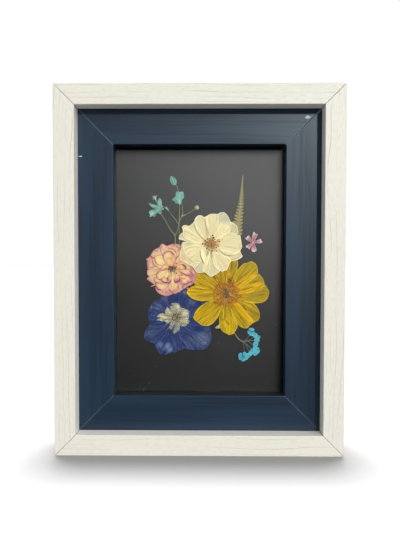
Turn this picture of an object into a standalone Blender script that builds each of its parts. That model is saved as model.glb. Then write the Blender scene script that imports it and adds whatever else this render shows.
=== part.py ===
"""Pressed flower frame: two mitred mouldings, a pane of glass and dried flowers on a black card.

X runs to the right, Y from the front face to the back, and Z up. The origin is the middle of the
bottom. Sizes are in millimetres and become metres where a mesh is placed. A depth is measured
from the front face of the frame towards the back.
"""

from math import cos, log, pi, radians, sin

import bmesh
import bpy
from mathutils import Matrix

MM = 0.001

# Driving dimensions of the frame.
FRAME_WIDTH = 196.0
FRAME_HEIGHT = 251.0
FRAME_DEPTH = 38.0
GAP = 0.3
EDGE_ROUND = 0.4
EDGE_SEGMENTS = 2

# Outer moulding: a broad lip at the front, and a thinner wall behind it.
OUTER_FACE = 14.0
OUTER_LIP_DEPTH = 12.7
OUTER_WALL = 6.0

# Inner moulding: stands in the outer one's rebate, with a rebate of its own for the glass.
INNER_FACE_END = 38.3
INNER_LIP_DEPTH = 11.3
INNER_REBATE_EDGE = 33.5
INNER_BACK = 37.0

# What lies in the inner rebate, from the front.
GLASS_THICKNESS = 2.0
FLOWER_SPACE = 3.9
CARD_THICKNESS = 0.8
BOARD_THICKNESS = 2.5

# Flat steel tabs hold the board; each end sits in a slot in a side rail.
TAB_SIZE = (14.0, 0.6, 8.0)
TAB_HEIGHTS = {"upper": 175.0, "lower": 76.0}
TAB_IN_RAIL = 4.0

# Petals lie in thin layers, the lowest one on the card.
PETAL_THICKNESS = 0.12
LAYER_PITCH = PETAL_THICKNESS + GAP
OUTLINE_STEPS = 12
WELD = 0.001
STEM_RADIUS = 0.28
ELLIPSE_STEPS = 12
FERN_THICKNESS = 0.3

OUTER_LIP_BACK = OUTER_LIP_DEPTH
INNER_FRONT = OUTER_LIP_BACK + GAP
INNER_LIP_BACK = INNER_FRONT + INNER_LIP_DEPTH
GLASS_FRONT = INNER_LIP_BACK + GAP
CARD_FRONT = GLASS_FRONT + GLASS_THICKNESS + FLOWER_SPACE
BOARD_FRONT = CARD_FRONT + CARD_THICKNESS + GAP
TAB_FRONT = BOARD_FRONT + BOARD_THICKNESS + GAP
SHEET_WIDTH = FRAME_WIDTH - 2 * (INNER_REBATE_EDGE + GAP)
SHEET_HEIGHT = FRAME_HEIGHT - 2 * (INNER_REBATE_EDGE + GAP)

# Each petal: direction in degrees from the right, length from the flower's middle, width, where
# it is widest (0 to 1), bluntness of the tip (1.4 pointed, 3 blunt) and the layer it lies in.
WHITE_CENTRE = (8.2, 144.7)
WHITE_PETALS = {
    "left": (172.5, 22.6, 9.0, 0.60, 1.7, 3),
    "right_upper": (33.0, 22.0, 12.0, 0.70, 2.8, 3),
    "lower_right": (-25.0, 23.8, 12.0, 0.64, 1.6, 3),
    "top_right": (65.0, 23.2, 12.5, 0.68, 2.6, 4),
    "lower_left": (-151.0, 24.8, 16.0, 0.62, 1.6, 4),
    "bottom_left": (-109.5, 22.6, 12.0, 0.68, 2.4, 3),
    "left_upper": (152.0, 22.6, 12.5, 0.68, 2.4, 5),
    "bottom": (-90.5, 24.0, 14.0, 0.60, 1.35, 5),
    "left_low": (-134.0, 21.6, 15.0, 0.62, 2.4, 6),
    "right": (0.5, 21.2, 14.5, 0.68, 3.4, 5),
    "top": (84.5, 20.6, 11.5, 0.70, 3.2, 5),
    "top_left": (113.7, 20.4, 11.5, 0.70, 2.8, 6),
    "bottom_right": (-60.0, 21.0, 15.0, 0.66, 2.4, 6),
}
YELLOW_CENTRE = (18.4, 108.1)
YELLOW_PETALS = {
    "left_upper": (155.0, 22.0, 14.0, 0.66, 2.8, 2),
    "left": (177.5, 27.2, 12.5, 0.62, 1.9, 3),
    "lower_left": (-138.0, 27.8, 15.0, 0.66, 2.5, 2),
    "bottom": (-84.5, 29.0, 13.0, 0.72, 2.6, 3),
    "lower_right": (-45.5, 29.2, 20.0, 0.66, 3.2, 2),
    "right": (5.0, 31.3, 16.0, 0.64, 2.3, 1),
    "right_upper": (22.0, 29.4, 14.0, 0.68, 2.8, 2),
    "upper_right": (46.0, 30.2, 13.5, 0.70, 2.8, 3),
    "top": (83.0, 28.0, 12.5, 0.68, 2.4, 2),
    "top_left": (112.0, 26.0, 14.0, 0.66, 2.4, 1),
}
BLUE_CENTRE = (-17.1, 91.5)
BLUE_SEPALS = {
    "upper_left": (158.0, 20.0, 20.0, 0.62, 3.0, 1),
    "top": (84.0, 24.0, 26.0, 0.62, 2.6, 0),
    "right": (33.0, 23.5, 24.0, 0.60, 2.4, 1),
    "lower_right": (-35.0, 29.3, 26.0, 0.64, 3.6, 0),
    "bottom_left": (-109.0, 28.0, 17.5, 0.72, 2.4, 1),
    "left": (-146.0, 25.2, 15.5, 0.68, 3.0, 0),
}
CLAW_START = 1.4
BASE_BLUNTNESS = 1.7
ROSE_CENTRE = (-19.9, 127.0)

# Rings of petals, each ring one piece: direction in degrees, reach, and half spread of each lobe.
ROSE_OUTER = [
    (83, 17.7, 26), (112, 19.2, 24), (136, 19.3, 24), (160, 19.9, 18), (-169, 18.5, 20),
    (-155, 20.0, 14), (-129, 19.2, 24), (-106, 20.6, 26), (-84, 18.2, 24), (-62, 18.4, 22),
    (-38, 19.9, 22), (-15, 18.4, 26), (15, 15.6, 28), (50, 15.6, 28),
]
ROSE_MIDDLE = [
    (118, 13.5, 32), (158, 14.6, 30), (-165, 13.6, 28), (-128, 14.2, 30), (-92, 14.4, 26),
    (-55, 13.4, 28), (-20, 14.8, 28), (18, 12.8, 28), (60, 12.6, 34),
]
ROSE_INNER = [
    (105, 9.6, 40), (165, 9.0, 38), (-135, 9.4, 36), (-80, 9.8, 32), (-20, 9.4, 34), (40, 8.0, 36),
]
BLUE_ROSETTE = [
    (90, 10.5, 17), (72, 9.6, 15), (57, 8.0, 16), (26, 10.5, 18), (2, 10.2, 18), (-12, 10.4, 15),
    (-39, 9.6, 18), (-95, 11.3, 11), (-117, 9.9, 12), (-148, 7.6, 16), (-171, 14.0, 10),
    (176, 14.0, 12), (128, 9.7, 14), (108, 9.5, 14),
]
PINK_CENTRE = (38.5, 146.7)
PINK_LOBES = [(71, 6.2, 24), (0, 6.4, 22), (-88, 7.6, 22), (-129, 7.0, 20), (148, 6.2, 22)]
ROSE_CORE = 15.5
ROSE_MIDDLE_CORE = 11.0
ROSE_INNER_CORE = 6.2
ROSETTE_CORE = 5.0
PINK_CORE = 1.2
LOBE_STEP = 4
LOBE_SQUARENESS = 2.6
LOBE_FULLNESS = 0.45

# Stamens: number of threads, the reach of the tuft's body and that of its longest thread. The
# threads differ in length by a turn of the golden angle from one to the next.
WHITE_STAMENS = (22, 2.2, 6.4)
YELLOW_STAMENS = (30, 6.4, 10.6)
ROSE_STAMENS = (14, 1.6, 4.2)
BLUE_STAMENS = (10, 1.5, 3.4)
GOLDEN_ANGLE = 2.4
SHORT_THREAD = 0.4

# Gypsophila: stems as places on the card (right and up), then the buds and heads they carry. A
# bud has a middle, a width and height, and a turn in degrees.
SPRIG_STEMS = {
    "main": [(-17.1, 136.5), (-17.6, 143.0), (-17.7, 149.8), (-22.6, 157.4), (-28.3, 165.4)],
    "right": [
        (-17.7, 149.6), (-15.7, 157.2), (-14.7, 161.6), (-12.6, 164.0), (-12.2, 167.5), (-13.2, 173.4),
    ],
    "upright": [(-14.8, 143.8), (-14.7, 152.0), (-14.75, 163.0), (-14.6, 173.2)],
    "side": [(-15.3, 158.4), (-18.9, 163.4), (-23.6, 169.6)],
    "bud": [(-12.7, 163.6), (-7.6, 166.0), (-3.0, 169.4)],
}
BUD_STALK = [(-14.5, 178.0), (-15.3, 182.4), (-17.0, 185.6), (-18.4, 188.0)]
SPRIG_DEPTH = 29.85
TOP_BUD = ((-19.2, 189.6), (4.0, 7.0), 28.0)
ROUND_BUD = ((-2.3, 170.3), (3.4, 3.4), 0.0)
SIDE_CALYX = ((-24.6, 170.3), (2.2, 4.4), 52.0)
UPPER_BLOSSOM = [
    (-16.7, 182.6), (-14.5, 181.9), (-12.0, 182.2), (-11.2, 179.1), (-12.9, 176.4), (-13.2, 173.9),
    (-14.8, 172.6), (-17.0, 173.4), (-17.8, 175.2), (-20.0, 175.9), (-17.5, 178.7),
]
LEFT_BLOSSOM = [
    (-36.9, 173.9), (-33.3, 173.4), (-31.6, 176.2), (-29.0, 177.6), (-27.7, 174.8), (-26.2, 169.4),
    (-27.4, 166.4), (-30.8, 166.2), (-33.0, 163.6), (-36.2, 163.6), (-37.2, 166.8), (-33.6, 169.6),
]
BLOSSOM_DEPTH = 28.6

# Fern tip: both ends of its midrib, its pairs of leaflets, and how they widen towards the foot.
FERN_TIP = (30.9, 194.2)
FERN_FOOT = (27.6, 146.0)
FERN_LEAFLETS = 22
FERN_HALF_WIDTH = 4.3
FERN_WIDEST = 0.72
FERN_NOTCH = 0.34
FERN_TIP_REACH = 0.35
FERN_TAPER = 1.2
FERN_DEPTH = 29.3

# Blue umbel: a stalk, its rays, and round flower heads, each a middle and a radius. The heads
# differ a little in thickness and turn, as pressed heads do.
UMBEL_NODE = (31.2, 73.9)
UMBEL_STALK = [(21.9, 86.4), (25.0, 80.1), (27.0, 77.0), (29.0, 75.1), (31.2, 73.9)]
UMBEL_RAYS = [(37.3, 80.6), (40.6, 77.6), (40.2, 71.6), (39.6, 66.8), (37.6, 66.4), (32.0, 63.4)]
UMBEL_HEADS = [
    ((37.5, 81.1), 3.0), ((40.0, 78.3), 2.4), ((42.4, 76.9), 2.5),
    ((41.4, 74.0), 2.6), ((40.6, 71.0), 2.3), ((40.4, 67.6), 2.8),
    ((41.7, 66.4), 2.5), ((38.4, 66.0), 2.5), ((31.8, 63.0), 3.9),
]
UMBEL_DEPTH = 29.8
HEAD_THICKNESS = 0.5
HEAD_STEP = 0.08
HEAD_STEPS = 3
HEAD_TURN = 11.0

# A loose sliver of a cream petal, by its corners.
SLIVER = [(10.9, 84.2), (14.4, 87.8), (15.6, 86.0), (13.6, 83.4)]


def clear_scene():
    """Remove what is in the scene."""
    for item in list(bpy.data.objects):
        bpy.data.objects.remove(item, do_unlink=True)


def collection(name):
    """A new collection in the scene."""
    made = bpy.data.collections.new(name)
    bpy.context.scene.collection.children.link(made)
    return made


def material(name, colour, roughness, metallic=0.0):
    """A plain Principled material."""
    made = bpy.data.materials.new(name)
    made.use_nodes = True
    shader = made.node_tree.nodes["Principled BSDF"]
    shader.inputs["Base Color"].default_value = (*colour, 1.0)
    shader.inputs["Roughness"].default_value = roughness
    shader.inputs["Metallic"].default_value = metallic
    made.diffuse_color = (*colour, 1.0)
    return made


def glass_material():
    """Clear picture glass."""
    made = material("picture_glass", (0.95, 0.97, 0.96), 0.03)
    shader = made.node_tree.nodes["Principled BSDF"]
    shader.inputs["Transmission Weight"].default_value = 1.0
    shader.inputs["IOR"].default_value = 1.5
    return made


def place(x, depth, z):
    """Metres of a point given in millimetres, with its depth behind the front face."""
    return (x * MM, (depth - FRAME_DEPTH / 2) * MM, z * MM)


def layer_depth(layer):
    """Depth of the middle of a petal in one layer."""
    return CARD_FRONT - GAP - layer * LAYER_PITCH - PETAL_THICKNESS / 2


def add_object(name, data, group, skin):
    """Put data in the scene as a named object with its material."""
    made = bpy.data.objects.new(name, data)
    data.materials.clear()
    data.materials.append(skin)
    group.objects.link(made)
    return made


def solid_mesh(curve_object):
    """The mesh of a curve with its caps welded on; the curve is removed."""
    bpy.context.view_layer.update()
    ready = curve_object.evaluated_get(bpy.context.evaluated_depsgraph_get())
    mesh = bpy.data.meshes.new_from_object(ready)
    mesh.transform(curve_object.matrix_world)
    work = bmesh.new()
    work.from_mesh(mesh)
    bmesh.ops.remove_doubles(work, verts=work.verts, dist=WELD * MM)
    bmesh.ops.recalc_face_normals(work, faces=work.faces)
    work.to_mesh(mesh)
    work.free()
    bpy.data.objects.remove(curve_object, do_unlink=True)
    return mesh


def flat_curve(name, outline, thickness):
    """A flat filled curve from a closed outline in millimetres."""
    curve = bpy.data.curves.new(name, "CURVE")
    curve.dimensions = "2D"
    curve.fill_mode = "BOTH"
    curve.extrude = thickness / 2 * MM
    spline = curve.splines.new("POLY")
    spline.points.add(len(outline) - 1)
    for point, (x, y) in zip(spline.points, outline):
        point.co = (x * MM, y * MM, 0.0, 1.0)
    spline.use_cyclic_u = True
    return curve


def tube_curve(name, route, radius):
    """A round stem through places on the card, all at one depth."""
    curve = bpy.data.curves.new(name, "CURVE")
    curve.dimensions = "3D"
    curve.bevel_depth = radius * MM
    curve.bevel_resolution = 1
    curve.use_fill_caps = True
    spline = curve.splines.new("POLY")
    spline.points.add(len(route) - 1)
    for point, (x, z) in zip(spline.points, route):
        point.co = (x * MM, 0.0, z * MM, 1.0)
    return curve


def upright(target, x, depth, z, turn=0.0):
    """Stand a flat object up in the picture plane and turn it there."""
    target.location = place(x, depth, z)
    target.rotation_euler = (radians(90), -radians(turn), 0.0)


def fuse(name, pieces, group, skin):
    """Join overlapping solids into one closed body."""
    first, *others = pieces
    for other in others:
        join = first.modifiers.new("join " + other.name, "BOOLEAN")
        join.operation = "UNION"
        join.object = other
    bpy.context.view_layer.update()
    ready = first.evaluated_get(bpy.context.evaluated_depsgraph_get())
    mesh = bpy.data.meshes.new_from_object(ready)
    mesh.transform(first.matrix_world)
    for piece in pieces:
        bpy.data.objects.remove(piece, do_unlink=True)
    return add_object(name, mesh, group, skin)


def box(name, size, centre, group, skin):
    """A box given by its size and its centre as x, depth and z."""
    mesh = bpy.data.meshes.new(name)
    work = bmesh.new()
    bmesh.ops.create_cube(work, size=1.0)
    bmesh.ops.scale(work, vec=[side * MM for side in size], verts=work.verts)
    work.to_mesh(mesh)
    work.free()
    made = add_object(name, mesh, group, skin)
    made.location = place(*centre)
    return made


def round_edges(target, width=EDGE_ROUND):
    """Round the sharp edges of an object."""
    bevel = target.modifiers.new("rounded edges", "BEVEL")
    bevel.width = width * MM
    bevel.segments = EDGE_SEGMENTS
    bevel.limit_method = "ANGLE"


def mitred_rail(name, section, length, group, skin):
    """A rail along X whose outer edge lies on Z = 0, cut at 45 degrees at both ends."""
    curve = flat_curve(name, section, length + OUTER_FACE)
    blank = bpy.data.objects.new(name, curve)
    group.objects.link(blank)
    blank.matrix_world = Matrix(((0, 0, -1, 0), (0, 1, 0, 0), (1, 0, 0, 0), (0, 0, 0, 1)))
    mesh = solid_mesh(blank)
    work = bmesh.new()
    work.from_mesh(mesh)
    for side in (-1, 1):
        corner = (side * (length - GAP) / 2 * MM, 0.0, 0.0)
        slope = (side, 0.0, 1.0)
        parts = work.verts[:] + work.edges[:] + work.faces[:]
        bmesh.ops.bisect_plane(work, geom=parts, plane_co=corner, plane_no=slope, clear_outer=True)
    rims = [edge for edge in work.edges if edge.is_boundary]
    bmesh.ops.holes_fill(work, edges=rims, sides=0)
    bmesh.ops.recalc_face_normals(work, faces=work.faces)
    work.to_mesh(mesh)
    work.free()
    return add_object(name, mesh, group, skin)


def rail_set(prefix, section, group, skin):
    """Four mitred rails round the picture, in the order bottom, top, left and right."""
    middle = FRAME_DEPTH / 2
    stations = {
        "bottom": (FRAME_WIDTH, (0.0, middle, 0.0), 0),
        "top": (FRAME_WIDTH, (0.0, middle, FRAME_HEIGHT), 180),
        "left": (FRAME_HEIGHT, (-FRAME_WIDTH / 2, middle, FRAME_HEIGHT / 2), 90),
        "right": (FRAME_HEIGHT, (FRAME_WIDTH / 2, middle, FRAME_HEIGHT / 2), -90),
    }
    rails = {}
    for side, (length, centre, turn) in stations.items():
        rail = mitred_rail(f"{prefix}_{side}", section, length, group, skin)
        rail.location = place(*centre)
        rail.rotation_euler = (0.0, radians(turn), 0.0)
        round_edges(rail)
        rails[side] = rail
    return rails


def section_points(corners):
    """A rail's section: distance in from the outer edge, and depth measured from the middle."""
    return [(inward, depth - FRAME_DEPTH / 2) for inward, depth in corners]


def outer_moulding(group):
    """The white moulding that stands on the table and carries everything."""
    skin = material("white_wood", (0.84, 0.83, 0.78), 0.45)
    corners = [
        (0.0, 0.0),
        (OUTER_FACE, 0.0),
        (OUTER_FACE, OUTER_LIP_BACK),
        (OUTER_WALL, OUTER_LIP_BACK),
        (OUTER_WALL, FRAME_DEPTH),
        (0.0, FRAME_DEPTH),
    ]
    return rail_set("outer_rail", section_points(corners), group, skin)


def inner_moulding(group):
    """The navy moulding behind the white lip."""
    skin = material("navy_wood", (0.03, 0.05, 0.09), 0.35)
    start = OUTER_WALL + GAP
    corners = [
        (start, INNER_FRONT),
        (INNER_FACE_END, INNER_FRONT),
        (INNER_FACE_END, INNER_LIP_BACK),
        (INNER_REBATE_EDGE, INNER_LIP_BACK),
        (INNER_REBATE_EDGE, INNER_BACK),
        (start, INNER_BACK),
    ]
    return rail_set("inner_rail", section_points(corners), group, skin)


def sheet(name, front, thickness, group, skin):
    """A flat sheet that fills the inner rebate."""
    centre = (0.0, front + thickness / 2, FRAME_HEIGHT / 2)
    return box(name, (SHEET_WIDTH, thickness, SHEET_HEIGHT), centre, group, skin)


def sheets(group):
    """Glass, black card and backing board."""
    sheet("glass_pane", GLASS_FRONT, GLASS_THICKNESS, group, glass_material())
    black = material("black_card", (0.03, 0.03, 0.03), 0.6)
    sheet("black_card", CARD_FRONT, CARD_THICKNESS, group, black)
    brown = material("brown_board", (0.27, 0.17, 0.09), 0.8)
    sheet("backing_board", BOARD_FRONT, BOARD_THICKNESS, group, brown)


def tabs(rails, group, cutters):
    """Steel tabs over the board, and the slots for them in the side rails."""
    steel = material("tab_steel", (0.55, 0.55, 0.55), 0.35, 1.0)
    length, thickness, height = TAB_SIZE
    depth = TAB_FRONT + thickness / 2
    rebate_x = FRAME_WIDTH / 2 - INNER_REBATE_EDGE
    slot_size = (2 * (TAB_IN_RAIL + GAP), thickness + 2 * GAP, height + 2 * GAP)
    for side, sign in (("left", -1), ("right", 1)):
        for level, z in TAB_HEIGHTS.items():
            x = sign * (rebate_x + TAB_IN_RAIL - length / 2)
            box(f"board_tab_{side}_{level}", TAB_SIZE, (x, depth, z), group, steel)
            cutter = box(f"slot_{side}_{level}", slot_size, (sign * rebate_x, depth, z), cutters, steel)
            cutter.hide_render = True
            cutter.display_type = "WIRE"
            slot = rails[side].modifiers.new("slot", "BOOLEAN")
            slot.operation = "DIFFERENCE"
            slot.object = cutter


def half_width(along, width, widest, tip):
    """Half the width of a petal at a share of its length."""
    swell = along ** (log(0.5) / log(widest))
    bluntness = tip if swell > 0.5 else BASE_BLUNTNESS
    return width / 2 * max(0.0, 1 - abs(2 * swell - 1) ** bluntness) ** (1 / bluntness)


def petal_outline(length, width, widest, tip):
    """A petal along +X with its foot near the flower's middle."""
    shares = [(1 - cos(pi * step / OUTLINE_STEPS)) / 2 for step in range(OUTLINE_STEPS + 1)]
    edge = []
    for share in shares:
        edge.append((CLAW_START + (length - CLAW_START) * share, half_width(share, width, widest, tip)))
    return [(x, -y) for x, y in edge] + [(x, y) for x, y in reversed(edge[1:-1])]


def lobe_reach(direction, lobes, core):
    """How far a ring of petals reaches in one direction."""
    reach = core
    for middle, length, spread in lobes:
        away = abs((direction - middle + 180) % 360 - 180) / spread
        if away < 1:
            reach = max(reach, length * (1 - away ** LOBE_SQUARENESS) ** LOBE_FULLNESS)
    return reach


def lobed_outline(lobes, core):
    """The outline of a ring of petals that share one middle."""
    outline = []
    for direction in range(0, 360, LOBE_STEP):
        reach = lobe_reach(direction, lobes, core)
        outline.append((reach * cos(radians(direction)), reach * sin(radians(direction))))
    return outline


def stamen_outline(count, body, longest):
    """A tuft of threads of uneven length round a middle."""
    outline = []
    for index in range(count):
        uneven = (1 + sin(index * GOLDEN_ANGLE)) / 2
        thread = body + (longest - body) * (SHORT_THREAD + (1 - SHORT_THREAD) * uneven)
        for share, reach in ((0.0, thread), (0.5, body)):
            turn = 2 * pi * (index + share) / count
            outline.append((reach * cos(turn), reach * sin(turn)))
    return outline


def ellipse_outline(size, turn):
    """An ellipse given by its width and height, turned by an angle in degrees."""
    outline = []
    c, s = cos(radians(turn)), sin(radians(turn))
    for step in range(ELLIPSE_STEPS):
        x = size[0] / 2 * cos(2 * pi * step / ELLIPSE_STEPS)
        y = size[1] / 2 * sin(2 * pi * step / ELLIPSE_STEPS)
        outline.append((x * c - y * s, x * s + y * c))
    return outline


def flat_piece(name, outline, centre, depth, group, skin, turn=0.0, thickness=PETAL_THICKNESS):
    """A flat dried piece that stays a curve object."""
    made = add_object(name, flat_curve(name, outline, thickness), group, skin)
    upright(made, centre[0], depth, centre[1], turn)
    return made


def petals(prefix, centre, shapes, group, skin):
    """Separate petals round one middle, each in its own layer."""
    for name, (turn, length, width, widest, tip, layer) in shapes.items():
        outline = petal_outline(length, width, widest, tip)
        flat_piece(f"{prefix}_{name}", outline, centre, layer_depth(layer), group, skin, turn)


def ring(name, centre, outline, layer, group, skin):
    """A flat ring of petals, or a tuft of stamens, in one layer."""
    flat_piece(name, outline, centre, layer_depth(layer), group, skin)


def white_flower(group, threads):
    """The cream white flower at the top of the group."""
    skin = material("white_petal", (0.80, 0.77, 0.58), 0.6)
    petals("white_petal", WHITE_CENTRE, WHITE_PETALS, group, skin)
    ring("white_stamens", WHITE_CENTRE, stamen_outline(*WHITE_STAMENS), 7, group, threads)


def yellow_flower(group, threads):
    """The yellow flower below it."""
    skin = material("yellow_petal", (0.68, 0.42, 0.02), 0.55)
    petals("yellow_petal", YELLOW_CENTRE, YELLOW_PETALS, group, skin)
    ring("yellow_stamens", YELLOW_CENTRE, stamen_outline(*YELLOW_STAMENS), 4, group, threads)


def blue_flower(group, threads):
    """The blue larkspur with its pale rosette."""
    skin = material("blue_sepal", (0.05, 0.08, 0.24), 0.6)
    cream = material("cream_rosette", (0.62, 0.60, 0.46), 0.6)
    petals("blue_sepal", BLUE_CENTRE, BLUE_SEPALS, group, skin)
    ring("blue_rosette", BLUE_CENTRE, lobed_outline(BLUE_ROSETTE, ROSETTE_CORE), 2, group, cream)
    ring("blue_stamens", BLUE_CENTRE, stamen_outline(*BLUE_STAMENS), 3, group, threads)


def rose(group, threads):
    """The double rose: three rings of petals, one on the other."""
    skin = material("rose_petal", (0.72, 0.48, 0.36), 0.6)
    ring("rose_outer_petals", ROSE_CENTRE, lobed_outline(ROSE_OUTER, ROSE_CORE), 2, group, skin)
    ring("rose_middle_petals", ROSE_CENTRE, lobed_outline(ROSE_MIDDLE, ROSE_MIDDLE_CORE), 3, group, skin)
    ring("rose_inner_petals", ROSE_CENTRE, lobed_outline(ROSE_INNER, ROSE_INNER_CORE), 4, group, skin)
    ring("rose_stamens", ROSE_CENTRE, stamen_outline(*ROSE_STAMENS), 5, group, threads)


def stem_solid(name, route, depth, group, skin, radius=STEM_RADIUS):
    """A stem as a closed mesh object, ready to be joined."""
    blank = bpy.data.objects.new(name, tube_curve(name, route, radius))
    group.objects.link(blank)
    blank.location = place(0.0, depth, 0.0)
    return add_object(name, solid_mesh(blank), group, skin)


def flat_solid(name, outline, centre, depth, group, skin, thickness):
    """A flat piece as a closed mesh object, ready to be joined."""
    blank = bpy.data.objects.new(name, flat_curve(name, outline, thickness))
    group.objects.link(blank)
    upright(blank, centre[0], depth, centre[1])
    return add_object(name, solid_mesh(blank), group, skin)


def gypsophila(group):
    """A small branching sprig with buds, and the two open heads on it."""
    green = material("sprig_green", (0.20, 0.26, 0.12), 0.6)
    teal = material("teal_blossom", (0.25, 0.60, 0.50), 0.6)
    pieces = []
    for name, route in SPRIG_STEMS.items():
        pieces.append(stem_solid("stem_" + name, route, SPRIG_DEPTH, group, green))
    for name, (centre, size, turn) in {"round_bud": ROUND_BUD, "side_calyx": SIDE_CALYX}.items():
        outline = ellipse_outline(size, turn)
        pieces.append(flat_solid(name, outline, centre, SPRIG_DEPTH, group, green, HEAD_THICKNESS))
    fuse("gypsophila_sprig", pieces, group, green)
    centre, size, turn = TOP_BUD
    outline = ellipse_outline(size, turn)
    bud = flat_solid("bud", outline, centre, SPRIG_DEPTH, group, teal, HEAD_THICKNESS)
    stalk = stem_solid("stalk", BUD_STALK, SPRIG_DEPTH, group, teal)
    fuse("gypsophila_bud", [stalk, bud], group, teal)
    origin = (0.0, 0.0)
    flat_piece("gypsophila_upper_blossom", UPPER_BLOSSOM, origin, BLOSSOM_DEPTH, group, teal)
    flat_piece("gypsophila_left_blossom", LEFT_BLOSSOM, origin, BLOSSOM_DEPTH, group, teal)


def fern_outline():
    """A fern tip: leaflets in pairs that grow from the tip down to the widest place."""
    left, right = [], []
    fall_x = (FERN_FOOT[0] - FERN_TIP[0]) / FERN_LEAFLETS
    fall_z = (FERN_FOOT[1] - FERN_TIP[1]) / FERN_LEAFLETS
    for index in range(FERN_LEAFLETS + 1):
        x = FERN_TIP[0] + fall_x * index
        z = FERN_TIP[1] + fall_z * index
        growth = min(1.0, index / FERN_LEAFLETS / FERN_WIDEST)
        reach = FERN_HALF_WIDTH * growth ** FERN_TAPER + FERN_TIP_REACH
        left += [(x - reach, z), (x - reach * FERN_NOTCH, z + fall_z / 2)]
        right += [(x + reach, z), (x + reach * FERN_NOTCH, z + fall_z / 2)]
    return left + right[::-1]


def fern(group):
    """The dry tip of a fern frond."""
    khaki = material("fern_khaki", (0.36, 0.33, 0.16), 0.7)
    origin = (0.0, 0.0)
    flat_piece("fern_tip", fern_outline(), origin, FERN_DEPTH, group, khaki, thickness=FERN_THICKNESS)


def pink_flower(group):
    """The small pink star of five narrow petals."""
    skin = material("pink_petal", (0.78, 0.34, 0.46), 0.6)
    outline = lobed_outline(PINK_LOBES, PINK_CORE)
    flat_piece("pink_star_flower", outline, PINK_CENTRE, layer_depth(1), group, skin)


def umbel(group):
    """The umbel that hangs below the yellow flower: stalk, rays and flower heads in one."""
    cyan = material("cyan_blossom", (0.08, 0.45, 0.62), 0.6)
    pieces = [stem_solid("stalk", UMBEL_STALK, UMBEL_DEPTH, group, cyan)]
    for index, end in enumerate(UMBEL_RAYS):
        pieces.append(stem_solid(f"ray_{index}", [UMBEL_NODE, end], UMBEL_DEPTH, group, cyan))
    for index, (centre, radius) in enumerate(UMBEL_HEADS):
        outline = ellipse_outline((2 * radius, 2 * radius), HEAD_TURN * index)
        thickness = HEAD_THICKNESS + HEAD_STEP * (index % HEAD_STEPS)
        pieces.append(flat_solid(f"head_{index}", outline, centre, UMBEL_DEPTH, group, cyan, thickness))
    fuse("blue_umbel", pieces, group, cyan)


def sliver(group):
    """A loose sliver of a cream petal under the yellow flower."""
    skin = material("cream_sliver", (0.66, 0.62, 0.45), 0.6)
    flat_piece("petal_sliver", SLIVER, (0.0, 0.0), layer_depth(1), group, skin)


def build():
    """Build the frame and what it holds."""
    clear_scene()
    group = collection("pressed flower frame")
    cutters = collection("cutters")
    outer_moulding(group)
    rails = inner_moulding(group)
    sheets(group)
    tabs(rails, group, cutters)
    threads = material("brown_stamens", (0.28, 0.15, 0.05), 0.7)
    white_flower(group, threads)
    yellow_flower(group, threads)
    blue_flower(group, threads)
    rose(group, threads)
    gypsophila(group)
    fern(group)
    pink_flower(group)
    umbel(group)
    sliver(group)


build()
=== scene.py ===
# %% [markdown]
# # A pressed flower frame
# A white moulding stands on the table and holds a navy moulding set back behind its lip. Behind
# the navy one come a pane of glass, a black card with dried flowers, and a backing board. The
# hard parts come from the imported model. This lesson gives them their finishes and makes the
# flowers as thin, veined, see-through sheets.

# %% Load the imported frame
from math import cos, pi, radians, sin, tau

import bmesh
import bpy
import numpy as np
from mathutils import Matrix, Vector


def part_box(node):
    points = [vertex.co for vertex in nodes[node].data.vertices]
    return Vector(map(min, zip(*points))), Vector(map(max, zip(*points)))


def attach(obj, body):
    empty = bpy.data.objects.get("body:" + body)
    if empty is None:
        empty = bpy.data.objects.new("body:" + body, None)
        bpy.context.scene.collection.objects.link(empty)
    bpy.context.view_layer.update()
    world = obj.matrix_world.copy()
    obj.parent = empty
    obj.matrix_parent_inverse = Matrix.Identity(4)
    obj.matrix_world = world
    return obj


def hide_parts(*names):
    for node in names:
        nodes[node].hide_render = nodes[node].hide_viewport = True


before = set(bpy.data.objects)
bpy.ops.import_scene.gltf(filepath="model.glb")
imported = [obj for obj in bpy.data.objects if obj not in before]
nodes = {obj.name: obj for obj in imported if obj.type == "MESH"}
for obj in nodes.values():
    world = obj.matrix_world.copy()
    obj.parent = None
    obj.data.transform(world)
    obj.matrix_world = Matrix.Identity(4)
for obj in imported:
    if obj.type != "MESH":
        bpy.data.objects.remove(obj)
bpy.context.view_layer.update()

MM = 0.001
BODY = "root"

# %% [markdown]
# ## Camera
# The photograph was taken from close by, a little above the middle of the frame. The camera
# stands about 40 cm in front of the white face and looks down by less than two degrees, so the
# inner walls of the recess show on all four sides.

# %% Camera
CAMERA_PLACE = (0.0049, -0.422, 0.1366)
CAMERA_DOWN, CAMERA_LEFT, CAMERA_ROLL = 1.83, 0.62, 0.07
LENS, SENSOR = 39.42, 36.0

scene = bpy.context.scene
lens = bpy.data.cameras.new("portrait camera")
lens.lens = LENS
lens.sensor_width = SENSOR
lens.clip_start, lens.clip_end = 0.02, 50.0
camera = bpy.data.objects.new("portrait camera", lens)
scene.collection.objects.link(camera)
camera.location = CAMERA_PLACE
camera.rotation_euler = (radians(90 - CAMERA_DOWN), radians(-CAMERA_ROLL), radians(CAMERA_LEFT))
scene.camera = camera
print("camera looks down by", CAMERA_DOWN, "degrees")

# %% [markdown]
# ## Wiring materials
# Every finish here is made of nodes. A small helper keeps that readable: each call adds one node
# and gives back its output, which the next call takes as an input. Colours are given as on a
# colour chart, from 0 to 255.

# %% A helper that wires nodes
def chart(colour):
    """A chart colour as the light values that shaders use."""
    values = []
    for level in colour:
        share = level / 255
        values.append(share / 12.92 if share <= 0.04045 else ((share + 0.055) / 1.055) ** 2.4)
    return (*values, 1.0)


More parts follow.
